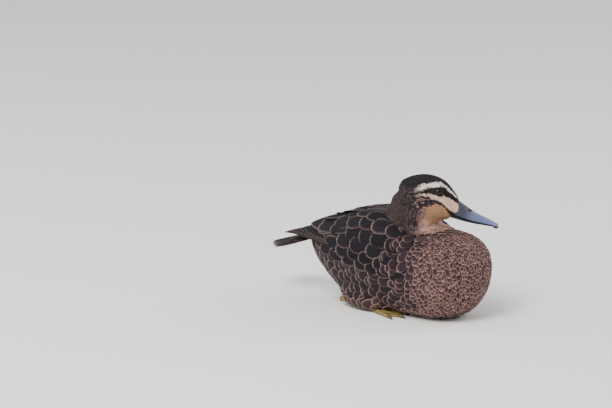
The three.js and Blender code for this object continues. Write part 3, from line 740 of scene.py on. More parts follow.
def vane_material(name, sheen, roughness, barb):
    """Feather vane: a ground and a paler fringe, fine barbs at a slant to the shaft, and a soft sheen."""
    made, tree, shader = material(
        name, Roughness=roughness, Sheen_Weight=sheen, Sheen_Roughness=0.45, Specular_IOR_Level=0.18
    )
    off, along = on_vane(tree)
    barbs = calc(tree, "MULTIPLY", calc(tree, "MULTIPLY_ADD", off, -1.3, along), barb)
    lines = node(tree, "ShaderNodeTexNoise", {"Scale": 1.0, "Detail": 2.0, "W": barbs}, noise_dimensions="1D")
    fray = lines.outputs["Fac"]
    ragged = calc(tree, "MULTIPLY_ADD", fray, -0.7, carried(tree, "rim", "Fac"))
    edge = between(tree, ragged, 0.25, 1.0, 1.0, 0.0, kind="SMOOTHSTEP")
    paler = calc(tree, "MAXIMUM", edge, between(tree, ragged, 0.6, 3.4, 0.24, 0.0))
    colour = mixed(tree, paler, carried(tree, "ground"), carried(tree, "fringe"))
    lit = between(tree, carried(tree, "draw", "Fac"), 0.0, 1.0, 0.8, 1.2)
    tone = calc(tree, "MULTIPLY", lit, between(tree, fray, 0.3, 0.7, 0.78, 1.22))
    finished(tree, shader, scaled(tree, colour, tone), fray, 0.35, 0.0003)
    return made


contour = vane_material("contour feathers", sheen=0.06, roughness=0.82, barb=3.5)
fine = vane_material("short face feathers", sheen=0.08, roughness=0.85, barb=6.0)

def roots_apart(p):
    return plumage(p)["every"]


roots, roots_up = scattered(coat_points, coat_normals, coat_faces, roots_apart, feathered, 11)
airy = in_the_open(roots, roots_up)
roots, roots_up = roots[airy], roots_up[airy]
coat = plumage(roots, seed=5)
shown = roots + heading(roots, roots_up) * (0.8 * coat["long"] * ramp(coat["head"], 0.2, 0.7))[:, None]
marked = plumage(shown, seed=5)
coat["ground"], coat["fringe"] = marked["ground"], marked["fringe"]
vary = np.random.default_rng(6)
for key in ("long", "wide"):
    coat[key] = coat[key] * vary.uniform(0.9, 1.12, len(roots))
root_h, root_b = to_head(roots), roots - BODY_AT
beside_eye = coat["head"] * (1 - ramp(round_eye(root_h), 1.15, 2.0))
for key, least in (("long", 1.6), ("wide", 0.8), ("deep", 0.5)):
    coat[key] = blend(coat[key], least, beside_eye)
coat["round"] = blend(blend(np.full(len(roots), 55.0), 24.0, coat["neck"]), 16.0, coat["head"])
turn_down = down_the_side(root_b)
on_head = coat["head"] > 0.5
on_neck = ~on_head & (coat["neck"] > 0.5)
on_breast = ~on_head & ~on_neck & (root_b[:, 0] > 50)
on_trunk = ~on_head & ~on_neck & ~on_breast
on_flank = on_trunk & (turn_down > 70) & (turn_down <= 140)

# Each piece's feathers, material and slot, points along and across a vane, and the vane's thickness.
groups = {}
for part, here, thick in (("face", root_h[:, 0] > 0, 0.08), ("head", root_h[:, 0] <= 0, 0.09)):
    for side_name, beside in (("left", root_h[:, 1] > 0), ("right", root_h[:, 1] <= 0)):
        groups[f"{part}_feathers_{side_name}"] = (on_head & here & beside, fine, "face_feathers", 4, 3, thick)
groups["neck_feathers"] = (on_neck, fine, "breast_feathers", 5, 3, 0.13)
groups["breast_feathers"] = (on_breast, contour, "breast_feathers", 9, 5, 0.26)
groups["back_feathers"] = (on_trunk & (turn_down <= 70), contour, "body_feathers", 14, 7, 0.28)
groups["flank_feathers"] = (on_flank, contour, "body_feathers", 14, 7, 0.3)
groups["belly_feathers"] = (on_trunk & (turn_down > 140), contour, "body_feathers", 12, 5, 0.3)
for number, (name, (chosen, finish, slot_name, stations, columns, thick)) in enumerate(groups.items()):
    part_coat = {key: value[chosen] for key, value in coat.items()}
    stiff = 0.0 if finish is fine else 0.6
    piece = vanes(name, roots[chosen], part_coat, stations, columns, 20 + number, thick, stiff=stiff)
    piece.data.materials.append(finish)
    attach(piece, "root")


# ---- Folded wings --------------------------------------------------------------------------------
# Each wing lies shut on the back: shoulder feathers over small coverts in rows, then four broad
# inner quills, and six narrow outer quills that end over the rump, all rooted in the wing's skin.

QUILL_DARK = linear("#161117")
QUILL_EDGE = linear("#8d7672")
QUILL_SHAPE = (
    (0, 0.08, 0.25, 0.5, 0.75, 0.88, 0.95, 0.985, 1.0),
    (0.3, 0.66, 0.95, 1.0, 0.93, 0.76, 0.52, 0.3, 0.08),
)

# Rows from the back down the side: angle from the top at the front and the rear end, first and last
# root, how many, and length and width of the first and the last feather.
SHOULDER_ROWS = (
    (15, 10, 0, -44, 5, (34, 50), (19, 25)),
    (30, 20, 11, -46, 5, (34, 56), (20, 28)),
    (46, 32, 44, -48, 6, (32, 55), (21, 29)),
    (61, 44, 51, -46, 6, (32, 54), (21, 29)),
    (75, 56, 45, -36, 5, (30, 49), (20, 27)),
)
COVERT_ROWS = (
    (87, 67, 49, -62, 7, (25, 44), (16, 22)),
    (97, 76, 52, -74, 8, (23, 40), (15, 20)),
)


def wing_way(p, up):
    return laid_flat(np.tile([-1.0, 0.0, -0.1], (len(p), 1)), up)


def in_rows(rows, side, seed):
    """Roots on the coat's outline in staggered rows, with each feather's size and its cell on the unwrap."""
    draw = np.random.default_rng(seed)
    found, long, wide, cells = [], [], [], []
    for number, (front, rear, first, last, count, longs, wides) in enumerate(rows):
        for i in range(count):
            t = i / (count - 1)
            x = first + (last - first) * (0.8 * t + 0.2 * t * t) + draw.uniform(-1.2, 1.2)
            angle = math.radians(front + (rear - front) * (first - x) / (first - last) + draw.uniform(-1, 1))
            away = Vector((0, side * math.sin(angle), math.cos(angle)))
            above = Vector((x + BODY_AT[0], 0, WING_MIDDLE)) + away * 150
            hit = body_tree.ray_cast(above * 0.001, -away)[0]
            found.append(tuple(hit * 1000))
            long.append((longs[0] + (longs[1] - longs[0]) * t) * draw.uniform(0.94, 1.06))
            wide.append((wides[0] + (wides[1] - wides[0]) * t) * draw.uniform(0.95, 1.05))
            cells.append(((i + 0.5) / 10, (number + 0.5) / len(rows)))
    return np.array(found), np.array(long), np.array(wide), np.array(cells)


# Stiff vane: dark brown with a thin pale rim, fine slanted barbs and a raised dark shaft.
stiff_vane = vane_material("wing quills", sheen=0.0, roughness=0.68, barb=2.6)
tree = stiff_vane.node_tree
shader = tree.nodes["Principled BSDF"]
shader.inputs["Specular IOR Level"].default_value = 0.12
shaft = between(tree, on_vane(tree)[0], 0.25, 0.6, 1.0, 0.0, kind="SMOOTHSTEP")
vane_colour = shader.inputs["Base Color"].links[0].from_socket
vane_relief = shader.inputs["Normal"].links[0].from_socket
shaft_relief = {"Height": shaft, "Strength": 0.8, "Distance": 0.0004, "Normal": vane_relief}
raised = node(tree, "ShaderNodeBump", shaft_relief)
tree.links.new(mixed(tree, shaft, vane_colour, (*linear("#171214"), 1)), shader.inputs["Base Color"])
tree.links.new(raised.outputs["Normal"], shader.inputs["Normal"])


def shades(ground, fringe, count, seed, spread=0.12):
    """The two colours of each feather, a little lighter or darker from one to the next."""
    dark = np.random.default_rng(seed).uniform(1 - spread, 1 + spread, (count, 1))
    return np.tile(ground, (count, 1)) * dark, np.tile(fringe, (count, 1)) * dark


def coat_of(long, wide, colours, **same):
    """Feathers of given lengths, widths and colours; what else is given is the same for them all."""
    coat = {key: np.full(len(long), value, float) for key, value in same.items()}
    coat["long"] = long
    coat["wide"] = np.array(wide, float)
    coat["ground"], coat["fringe"] = colours
    return coat


def layered(name, rows, side, seed, deep, nodes):
    """One wing's rows of feathers as one piece that stands for its solid."""
    at, long, wide, cells = in_rows(rows, side, seed)
    colours = shades(QUILL_DARK, QUILL_EDGE, len(at), seed + 1, 0.15)
    coat = coat_of(long, wide, colours, deep=deep, rim=0.95, round=36.0, roll=-0.05 * side)
    swing = np.random.default_rng(seed + 2).normal(0, 0.05, len(at))
    piece = vanes(
        name, at, coat, 18, 9, seed, 0.34, lambda t: walk(at, long, t, wing_way, swing, 0.9),
        patch=(0.085, 0.85 / len(rows)), place=cells, sides=1.2,
    )
    piece.data.materials.append(stiff_vane)
    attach(piece, "root")
    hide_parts(*nodes)
    return piece


def along_stations(stations, s):
    """Places along a table of (share, x, y, z, tilt) on the left side, smoothly."""
    table = np.array(stations)
    curve = polynomial.polyfit(table[:, 0], table[:, 1:], 3)
    return np.moveaxis(polynomial.polyval(s, curve), 0, -1)


# Shares of the folded length, and the place and tilt of the stack's middle there.
INNER_QUILLS = (
    (0, -18, 33, 108, 0.62), (0.4, -58, 30, 103, 0.62),
    (0.75, -96, 24, 94.5, 0.55), (1, -124, 18, 86, 0.45),
)
OUTER_QUILLS = (
    (0, -52, 46, 78, 1.0), (0.35, -92, 37, 81, 0.85),
    (0.7, -132, 23, 80, 0.5), (1, -168, 12, 72, 0.3),
)


def paths_of(count, one):
    """A path for each feather of a piece, from one(i, t): its places on the body and its upward side."""
    def path(t):
        spine, ups = np.empty((2, len(t), count, 3))
        for i in range(count):
            place, ups[:, i] = one(i, t)
            spine[:, i] = np.column_stack(place) + BODY_AT
        return spine, ups
    return path


def quill_paths(stations, side, starts, ends, offsets, stacks, slim):
    """A path for each quill: along the stack, set off across it and above or below its neighbours."""
    def one(i, t):
        s = starts[i] + (ends[i] - starts[i]) * t
        x, y, z, tilt = along_stations(stations, s).T
        reach = offsets[i] * (1 - slim * s)
        rise = stacks[i] * (1.1 - 0.75 * s)
        y = side * (y + reach * np.cos(tilt) + rise * np.sin(tilt))
        z = z - reach * np.sin(tilt) + rise * np.cos(tilt)
        up = np.column_stack([np.zeros(len(t)), side * np.sin(tilt), np.cos(tilt)])
        on = unit(np.gradient(np.column_stack([x, y, z]) + BODY_AT, axis=0))
        return (x, y, z), unit(up - on * np.sum(up * on, axis=1)[:, None])
    return paths_of(len(starts), one)


def lengths(path, steps):
    """Each feather's root on its path, and its length."""
    middle = path(np.linspace(0, 1, steps))[0]
    return middle[0], np.linalg.norm(np.diff(middle, axis=0), axis=2).sum(0)


def quills(
    name, path, wide, colours, nodes, seed, columns=7, rim=1.0,
    shape=QUILL_SHAPE, round_by=30.0, roll=0.0, thick=0.42,
):
    """Stiff quills as one piece: each has its own strip of the unwrap."""
    count = len(wide)
    at, long = lengths(path, 24)
    coat = coat_of(long, wide, colours, deep=0, rim=rim, round=round_by, roll=roll)
    cells = np.column_stack([(np.arange(count) + 0.5) / count, np.full(count, 0.5)])
    strip = (0.9 / count, 0.94)
    piece = vanes(name, at, coat, 22, columns, seed, thick, path, shape, strip, cells, sides=1.0)
    piece.data.materials.append(stiff_vane)
    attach(piece, "root")
    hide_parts(*nodes)
    return piece


INNER_COLOURS = shades(QUILL_DARK, QUILL_EDGE, 4, 61)
OUTER_COLOURS = shades(QUILL_DARK * 0.8, QUILL_EDGE * 0.6, 6, 62)
for side_name, side in SIDES:
    shoulder, covert = [f"scapulars_{side_name}"], [f"wing_{side_name}"]
    layered(f"shoulder_feathers_{side_name}", SHOULDER_ROWS, side, 40, 2.6, shoulder)
    layered(f"wing_coverts_{side_name}", COVERT_ROWS, side, 50, 2.4, covert)
    inner = quill_paths(
        INNER_QUILLS, side, starts=(0.12, 0.09, 0.05, 0.0), ends=(1.0, 0.95, 0.87, 0.78),
        offsets=(-5, 0.5, 6, 11.5), stacks=(2.9, 2.0, 1.1, 0.2), slim=0.25,
    )
    quills(
        f"inner_quills_{side_name}", inner, (23, 24, 24, 22), INNER_COLOURS,
        [f"tertials_{side_name}"], 60, roll=-0.06 * side,
    )
    outer = quill_paths(
        OUTER_QUILLS, side, starts=(0.0,) * 6, ends=(0.99, 0.94, 0.88, 0.81, 0.74, 0.66),
        offsets=(3.4, 1.8, 0.4, -1.0, -2.4, -4.0), stacks=(-1.6, -0.9, -0.2, 0.5, 1.2, 1.9), slim=0.2,
    )
    quills(
        f"outer_quills_{side_name}", outer, (12, 12, 12.5, 13, 13.5, 14), OUTER_COLOURS,
        [f"primaries_{side_name}"], 63, columns=5, rim=0.5, roll=-0.05 * side, round_by=16.0,
    )


# ---- Tail ----------------------------------------------------------------------------------------
# Sixteen stiff pointed quills in a shallow arched fan, the middle pair on top, rooted in the rump.

TAIL_QUILLS = 16
TAIL_ROOT_X, TAIL_TIP_X, TAIL_ROOT_Z = -104.0, -193.0, 82.0
TAIL_SLOPE = math.radians(17)
TAIL_ROUNDING = 24
TAIL_ARCH = 7
ROOT_HALF_WIDE, SPREAD = 15, 15.5


def on_fan(v, x, share):
    """Sideways place and height of the tail's fan at x, v of its half width from the middle line.
    The share runs from 0 at the quills' roots to 1 at their tips."""
    y = v * (ROOT_HALF_WIDE + SPREAD * np.clip(share, -0.2, 1))
    fall = (x - TAIL_ROOT_X) * math.tan(TAIL_SLOPE)
    return y, TAIL_ROOT_Z + fall - TAIL_ARCH * v * v * (0.4 + 0.6 * share)


def tail_quill(i, t):
    v = (i - (TAIL_QUILLS - 1) / 2) / 8
    reach = TAIL_ROOT_X - TAIL_TIP_X - TAIL_ROUNDING * abs(v) ** 1.8 - 0.8
    x = TAIL_ROOT_X - reach * t
    y, z = on_fan(v, x, t)
    z = z + (1.3 - 3.0 * abs(v)) * (1 - 0.62 * t)
    lean = 0.35 * v
    up = np.array([-math.sin(TAIL_SLOPE), math.sin(lean), math.cos(lean)])
    return (x, y, z), up / np.linalg.norm(up)


TAIL_SHAPE = ((0, 0.1, 0.35, 0.62, 0.8, 0.9, 0.96, 1.0), (0.45, 0.72, 0.95, 1.0, 0.86, 0.6, 0.34, 0.06))
tail_tilt = [-0.04 if i < 8 else 0.04 for i in range(TAIL_QUILLS)]
tail_wide = [17.5 - 4.5 * abs(i - 7.5) / 7.5 for i in range(TAIL_QUILLS)]
tail_colours = shades(QUILL_DARK * 1.25, QUILL_EDGE, TAIL_QUILLS, 71)
quills(
    "tail_quills", paths_of(TAIL_QUILLS, tail_quill), tail_wide, tail_colours, ["tail"], 70,
    shape=TAIL_SHAPE, roll=tail_tilt, round_by=40.0, thick=0.34,
)


# ---- Eyes ----------------------------------------------------------------------------------------
# Glass-bright eyes of dark brown with round black pupils, set in the head under bare dark lids that
# are half lowered.

def unit_ball(name, segments, ring_count):
    """A ball of radius 1 about the origin, and its points."""
    bpy.ops.object.select_all(action="DESELECT")
    bpy.ops.mesh.primitive_uv_sphere_add(segments=segments, ring_count=ring_count, radius=1)
    ball = bpy.context.object
    ball.name = name
    ball.data.name = name
    return ball, np.array([v.co for v in ball.data.vertices])


def face_outward(piece):
    only(piece)
    bpy.ops.object.mode_set(mode="EDIT")
    bpy.ops.mesh.select_all(action="SELECT")
    bpy.ops.mesh.normals_make_consistent(inside=False)
    bpy.ops.object.mode_set(mode="OBJECT")


def eye_ball(side_name, side):
    """An eyeball with a slightly bulging front, which looks along EYE_LOOK."""
    ball, points = unit_ball(f"eyeball_{side_name}", 64, 48)
    turn = np.degrees(np.arccos(np.clip(points[:, 2], -1, 1)))
    bulge = 1 + 0.035 * np.exp(-((turn / 24) ** 2))
    axes = np.column_stack([EYE_ACROSS, EYE_UP, EYE_LOOK])
    h = (points * (EYE_ROUND * bulge)[:, None]) @ axes.T + EYE_AT
    h[:, 1] *= side
    ball.data.vertices.foreach_set("co", (from_head(h) * 0.001).ravel())
    if np.linalg.det(axes) * side < 0:
        ball.data.flip_normals()
    layer = ball.data.attributes.new("turn", "FLOAT", "POINT")
    layer.data.foreach_set("value", turn.astype(np.float32))
    around = ball.data.attributes.new("around", "FLOAT_VECTOR", "POINT")
    around.data.foreach_set("vector", points.astype(np.float32).ravel())
    ball.data.shade_smooth()
    return ball


def lid_ring(side_name, side):
    """The two lids as one closed ring that hugs the ball; its inner edge is the eye's opening."""
    sides, profile = 72, 9
    points = []
    for k in range(sides):
        a = 2 * math.pi * k / sides
        half_high = 16.0 if math.sin(a) > 0 else 23.0
        open_by = ((abs(math.cos(a)) / 41.0) ** 1.75 + (abs(math.sin(a)) / half_high) ** 1.75) ** (-1 / 1.75)
        for j in range(profile):
            s = j / (profile - 1)
            out = open_by + 17.0 * s - 0.6 * math.sin(math.pi * s)
            stand = 0.12 + 0.62 * math.sin(math.pi * min(1, 0.12 + s * 0.95)) ** 0.7 - 0.5 * s**3
            stand += 0.08 * math.cos(math.pi * 5 * s)
            points.append((out, a, EYE_ROUND + stand))
        for j in range(profile - 2, 0, -1):
            s = j / (profile - 1)
            points.append((open_by + 17.0 * s, a, EYE_ROUND - 0.35))
    table = np.array(points)
    polar, a, r = np.radians(table[:, 0]), table[:, 1], table[:, 2]
    h = (r * np.sin(polar) * np.cos(a))[:, None] * EYE_ACROSS
    h = h + (r * np.sin(polar) * np.sin(a))[:, None] * EYE_UP
    h = h + (r * np.cos(polar))[:, None] * EYE_LOOK + EYE_AT
    h[:, 1] *= side
    ring = 2 * profile - 2
    faces = []
    for k in range(sides):
        m = (k + 1) % sides
        for j in range(ring):
            n = (j + 1) % ring
            faces.append((k * ring + j, m * ring + j, m * ring + n, k * ring + n))
    lids = new_piece(f"lids_{side_name}", from_head(h), faces)
    face_outward(lids)
    lids.data.shade_smooth()
    return lids


def two_tone(tree, value, dark, pale, low=0.0, high=1.0):
    """A colour that goes from dark to pale as the value goes from low to high."""
    made = node(tree, "ShaderNodeValToRGB", {"Fac": value})
    for stop, code, place in zip(made.color_ramp.elements, (dark, pale), (low, high)):
        stop.color = (*linear(code), 1)
        stop.position = place
    return made.outputs["Color"]


eye_glass, tree, shader = material("eye glass", Roughness=0.06, IOR=1.34)
turn_off = carried(tree, "turn", "Fac")
around = {0: carried(tree, "around", "Vector"), 1: (1, 1, 0)}
flat = node(tree, "ShaderNodeVectorMath", around, operation="MULTIPLY")
spoke = node(tree, "ShaderNodeVectorMath", {0: flat.outputs[0]}, operation="NORMALIZE")
fibres = mottled(tree, spoke.outputs[0], 9.0, 5.0, Roughness=0.7)
iris = two_tone(tree, fibres, "#180b07", "#3c1f10", 0.3, 0.75)
iris = scaled(tree, iris, between(tree, turn_off, 30.0, 40.0, 1.0, 0.25))
pupil = between(tree, turn_off, 17.0, 18.5, kind="SMOOTHSTEP")
tree.links.new(mixed(tree, pupil, (0.004, 0.004, 0.004, 1), iris), shader.inputs["Base Color"])

lid_skin, tree, shader = material("bare lid skin", Roughness=0.55, Specular_IOR_Level=0.25)
wrinkles = mottled(tree, on_object(tree), 2600.0, 3.0)
finished(tree, shader, two_tone(tree, wrinkles, "#0c090a", "#1c1616"), wrinkles, 0.5, 0.00025)

for side_name, side in SIDES:
    ball = eye_ball(side_name, side)
    ball.data.materials.append(eye_glass)
    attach(ball, "root")
    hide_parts(f"eye_{side_name}")
    lids = lid_ring(side_name, side)
    lids.data.materials.append(lid_skin)
    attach(lids, "root")


# ---- Tail coverts --------------------------------------------------------------------------------
# Soft feathers in two rows over the roots of the tail quills, above and below, as loose as the
# rump's and rooted in its skin.

def covert_path(rows, face):
    """Paths over (face 1) or under (face -1) the tail's root; rows hold v, root x, length and height."""
    def one(i, t):
        v, root_x, long, stand = rows[i]
        x = root_x - long * t * (1 - 0.12 * v * v)
        share = (TAIL_ROOT_X - x) / (TAIL_ROOT_X - TAIL_TIP_X)
        y, z = on_fan(v, x, share)
        z = z + face * (0.9 + stand * (1 - t) ** 1.3 + 1.6 * (1 - abs(v)) * (1 - share))
        lean = 0.45 * v
        up = np.array([face * (-math.sin(TAIL_SLOPE) - 0.05), math.sin(lean), face * math.cos(lean)])
        return (x, y, z), up / np.linalg.norm(up)
    return paths_of(len(rows), one)


def loose_feathers(name, path, wide, region, seed):
    """Soft feathers of one width on paths of their own, coloured as their region of the coat."""
    at, long = lengths(path, 12)
    count = len(long)
    colours = shades(region["ground"], region["fringe"], count, seed)
    coat = coat_of(long, np.full(count, wide), colours, deep=0, rim=region["rim"], round=22.0, head=0)
    piece = vanes(name, at, coat, 10, 5, seed, 0.3, path)
    piece.data.materials.append(contour)
    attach(piece, "root")


def covert_row(number, root_x, long, stand, reach):
    return [((2 * i / (number - 1) - 1) * reach, root_x, long, stand) for i in range(number)]


over_tail = covert_row(8, -112, 40, 2.0, 0.86) + covert_row(7, -101, 38, 4.5, 0.8)
under_tail = covert_row(8, -110, 48, 3.0, 0.7) + covert_row(7, -100, 44, 6.5, 0.6)
loose_feathers("tail_coverts", covert_path(over_tail, 1), 16.0, REGIONS["rump"], 81)
loose_feathers("undertail_coverts", covert_path(under_tail, -1), 15.0, REGIONS["flank"], 82)


# ---- Bill ----------------------------------------------------------------------------------------
# Slate-blue horn over bone: an upper bill that flattens and widens to a round tip, shallow nostril pits near
# its root painted near black as painted shade for open nostrils, a hard black nail at the tip, and a black
# lower bill that shuts up inside its edges.

# The upper bill along the head's axis: ridge, cutting edge and half width.
BILL_ROWS = np.array([
    (27, 3, -15.2, 8), (35, 1.6, -15.8, 8.9), (45, -2.6, -16.6, 9), (56, -6.6, -16.8, 9.4),
    (67, -9.4, -16.2, 10.3), (76, -11.4, -15.9, 10.2), (83, -13.2, -16.4, 7.4), (86, -14.8, -17, 4),
])
BILL_ROOT_X, BILL_TIP_X, LOWER_TIP_X = 27.0, 86.0, 82.5
NOSTRIL_AT = np.array([46.5, 5.4, -3.6])


def bill_at(x, column):
    """A smooth curve through one column of the bill's table."""
    xs, ys = BILL_ROWS[:, 0], BILL_ROWS[:, column]
    slope = np.gradient(ys, xs)
    slope[1:-1] = (ys[2:] - ys[:-2]) / (xs[2:] - xs[:-2])
    x = np.clip(x, xs[0], xs[-1])
    i = np.clip(np.searchsorted(xs, x, side="right") - 1, 0, len(xs) - 2)
    span = xs[i + 1] - xs[i]
    t = (x - xs[i]) / span
    return (
        (2 * t**3 - 3 * t**2 + 1) * ys[i] + (t**3 - 2 * t**2 + t) * span * slope[i]
        + (3 * t**2 - 2 * t**3) * ys[i + 1] + (t**3 - t**2) * span * slope[i + 1]
    )


def rounded(value, fullness):
    return np.sign(value) * np.abs(value) ** (2 / fullness)


def closed_rings(rings):
    """Points and faces of a closed mesh over rings of points, with a fan at each end."""
    stations, around = rings.shape[:2]
    points = np.concatenate([rings.reshape(-1, 3), [rings[0].mean(0), rings[-1].mean(0)]])
    first_pole, last_pole, last_ring = stations * around, stations * around + 1, (stations - 1) * around
    faces = []
    for i in range(around):
        j = (i + 1) % around
        faces.append((first_pole, j, i))
        for k in range(0, last_ring, around):
            faces.append((k + i, k + j, k + around + j, k + around + i))
        faces.append((last_pole, last_ring + i, last_ring + j))
    return points, faces


def lofted(name, rings):
    """A closed piece over rings of points of the head, and its points."""
    points, faces = closed_rings(rings)
    piece = new_piece(name, from_head(points), faces)
    face_outward(piece)
    piece.data.shade_smooth()
    return piece, points


def upper_rings(stations, around):
    x = BILL_ROOT_X + (BILL_TIP_X + 0.6 - BILL_ROOT_X) * np.sin(np.linspace(0, math.pi / 2, stations))
    angle = np.linspace(0, 2 * math.pi, around, endpoint=False)
    across, up = np.sin(angle)[None, :], np.cos(angle)[None, :]
    ridge, edge, half = (bill_at(x, c)[:, None] for c in (1, 2, 3))
    flat = 2 + 0.7 * ramp(x, 40, 72)[:, None]
    closing = np.sqrt(np.clip(1 - ramp(x, BILL_TIP_X - 1.2, BILL_TIP_X + 0.6), 0.02, 1))[:, None]
    rise = np.where(up > 0, (ridge - edge - 1.6) * rounded(up, flat), 1.6 * rounded(up, 2 + 0 * flat))
    y = half * closing * rounded(across, flat)
    z = edge + 1.6 + rise * closing
    points = np.stack([np.broadcast_to(x[:, None], y.shape), y, z], 2)
    lip = np.exp(-(((z - edge - 3.0) / 0.75) ** 2)) * (up > -0.2) * ramp(x, 38, 50)[:, None]
    hinge = 0.35 * np.exp(-(((np.abs(y) - 4.6) / 1.1) ** 2)) * (up > 0.3)
    hinge = hinge * ramp(x, 34, 44)[:, None] * ramp(-x, -74, -60)[:, None]
    shrink = 1 - (0.28 * lip + hinge) / np.maximum(np.hypot(y, z - edge - 1.6), 2)
    points[..., 1] *= shrink
    points[..., 2] = edge + 1.6 + (points[..., 2] - edge - 1.6) * shrink
    off = (points - NOSTRIL_AT * np.array([1, 0, 1])) * np.array([1, 0, 1])
    off_y = np.abs(points[..., 1]) - NOSTRIL_AT[1]
    lean = off[..., 2] + 0.32 * off[..., 0]
    apart = np.hypot(off[..., 0] / 4.4, np.hypot(lean, 0.4 * off_y) / 2.1)
    pit = np.sqrt(np.clip(1 - apart**2, 0, 1)) * 1.7 - 0.28 * np.exp(-(((apart - 1.3) / 0.28) ** 2))
    pit = np.where(up > -0.1, pit, 0)
    inward = np.stack([0 * y, -np.sign(points[..., 1]) * 0.75, np.full(y.shape, -0.65)], 2)
    return points + inward * pit[..., None], apart


def horn_material(name, roughness, mottle):
    """Living horn: a waxy surface with faint growth lines along the bill and small pits."""
    made, tree, shader = material(
        name, Roughness=roughness, Specular_IOR_Level=0.45, Coat_Weight=0.12, Coat_Roughness=0.35
    )
    place = on_object(tree)
    turn = node(tree, "ShaderNodeMapping", {"Vector": place, "Rotation": (0, -HEAD_DIP, -HEAD_TURN)})
    long_way = node(tree, "ShaderNodeMapping", {"Vector": turn.outputs[0], "Scale": (160, 900, 900)})
    lines = mottled(tree, long_way.outputs[0], 1.0, 3.0)
    blots = mottled(tree, place, 260.0, 4.0)
    tone = between(tree, calc(tree, "ADD", lines, blots), 0.7, 1.3, 1 - mottle, 1 + mottle)
    worn = between(tree, blots, 0.0, 1.0, roughness - 0.1, roughness + 0.14)
    tree.links.new(worn, shader.inputs["Roughness"])
    finished(tree, shader, scaled(tree, carried(tree, "ground"), tone), lines, 0.22, 0.0003)
    return made


BILL_BLUE = linear("#565b7c")
BILL_PALE = linear("#5f658b")
BILL_DARK = linear("#2b2c37")
BLACK_HORN = linear("#15151a")
blue_horn = horn_material("slate blue bill horn", 0.42, 0.16)
dark_horn = horn_material("black bill horn", 0.38, 0.2)

rings, from_nostril = upper_rings(150, 112)
upper, points = lofted("upper_bill", rings)
x, z, spread = points[:, 0], points[:, 2], np.abs(points[:, 1])
above_edge = z - bill_at(x, 2)
colour = blend(BILL_BLUE, BILL_PALE, ramp(x, 52, 78))
colour = blend(colour, BILL_DARK, ramp(-x, -56, -42) * 0.9)
colour = blend(colour, BILL_DARK, ramp(-spread, -2.2, -0.4) * ramp(-x, -66, -40) * 0.45)
colour = blend(colour, BILL_DARK, ramp(-above_edge, -2.2, -0.6) * 0.6)
hollow = np.concatenate([from_nostril.ravel(), [9, 9]])
# Painted shade: the shallow nostril pit is painted near black for the dark inside of an open nostril.
colour = blend(colour, BLACK_HORN * 0.5, ramp(-hollow, -1.35, -1.05))
paint(upper.data, "ground", colour)
upper.data.materials.append(blue_horn)
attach(upper, "root")
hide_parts("bill_upper")

steps = np.sin(np.linspace(0, math.pi / 2, 90))
x = BILL_ROOT_X + (LOWER_TIP_X - BILL_ROOT_X) * steps
angle = np.linspace(0, 2 * math.pi, 56, endpoint=False)
half = bill_at(x, 3) * 0.9 - 2.2 * steps**12
depth = (5.4 + (2.4 - 5.4) * steps) * np.sqrt(np.clip(1 - steps**40, 0.03, 1))
low_z = (depth / 2)[:, None] * rounded(np.cos(angle), 2.4)[None, :]
low_z = (bill_at(x, 2) + 1.2 - depth / 2)[:, None] + low_z
low_y = half[:, None] * rounded(np.sin(angle), 2.4)[None, :]
chin = 0.5 * np.exp(-((low_y / 2.4) ** 2)) * (np.cos(angle) < 0)[None, :] * ramp(x, 30, 44)[:, None]
rings = np.stack([np.broadcast_to(x[:, None], low_y.shape), low_y, low_z + chin], 2)
lower, points = lofted("lower_bill", rings)
paint(lower.data, "ground", blend(BLACK_HORN, BILL_DARK, 0.35 * ramp(points[:, 0], 40, 70)))
lower.data.materials.append(dark_horn)
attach(lower, "root")
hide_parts("bill_lower")

nail, shape = unit_ball("nail", 48, 32)
shape[:, 1] *= 1 - 0.25 * ramp(-shape[:, 0], 0, 1)
shape[:, 2] -= 0.22 * ramp(shape[:, 0], 0.3, 1.0)
points = shape * np.array([3.9, 3.6, 3.2]) + np.array([83.0, 0, -16.1])
nail.data.vertices.foreach_set("co", (from_head(points) * 0.001).ravel())
nail.data.shade_smooth()
paint(nail.data, "ground", np.tile(BLACK_HORN, (len(points), 1)))
nail.data.materials.append(dark_horn)
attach(nail, "root")
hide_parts("bill_nail")


# ---- Legs and feet -------------------------------------------------------------------------------
# Olive-yellow scaled skin over bone: the shanks lie along the floor, three webbed toes run forward
# under each flank, and every toe ends in a small dark claw.

FOOT_AT = np.array([-14.0, 35.0, 2.6])
TOE_LENGTHS = (40, 48, 43)
TOE_SPLAY, TOE_TURN = math.radians(17), math.radians(6)


def toe_end(k):
    a = (k - 1) * TOE_SPLAY + TOE_TURN
    forward, outward = TOE_LENGTHS[k] * math.cos(a), TOE_LENGTHS[k] * math.sin(a)
    return np.array([FOOT_AT[0] + forward, FOOT_AT[1] + outward, 1.5])


def tube(line, radii, around=20):
    """Rings about a line of points, flattened where they meet the floor."""
    line = np.asarray(line, float)
    along = unit(np.gradient(line, axis=0))
    side = unit(np.cross([0, 0, 1.0], along))
    up = np.cross(along, side)
    angle = np.linspace(0, 2 * math.pi, around, endpoint=False)
    ring = side[:, None] * np.cos(angle)[None, :, None] + up[:, None] * np.sin(angle)[None, :, None]
    rings = line[:, None] + ring * np.asarray(radii)[:, None, None]
    rings[..., 2] = np.maximum(rings[..., 2], 0.12)
    return rings


def melted(name, solids, voxel, smoothing, side):
    """Joins closed solids of the left side into one skin, mirrored for the right."""
    points, faces = [], []
    for rings in solids:
        start = sum(len(p) for p in points)
        more_points, more_faces = closed_rings(rings)
        points.append(more_points)
        faces += [tuple(start + n for n in face) for face in more_faces]
    points = np.concatenate(points) * np.array([1, side, 1]) + BODY_AT
    piece = new_piece(name, points, faces)
    face_outward(piece)
    skinned(piece, voxel, smoothing)
    piece.data.shade_smooth()
    return piece


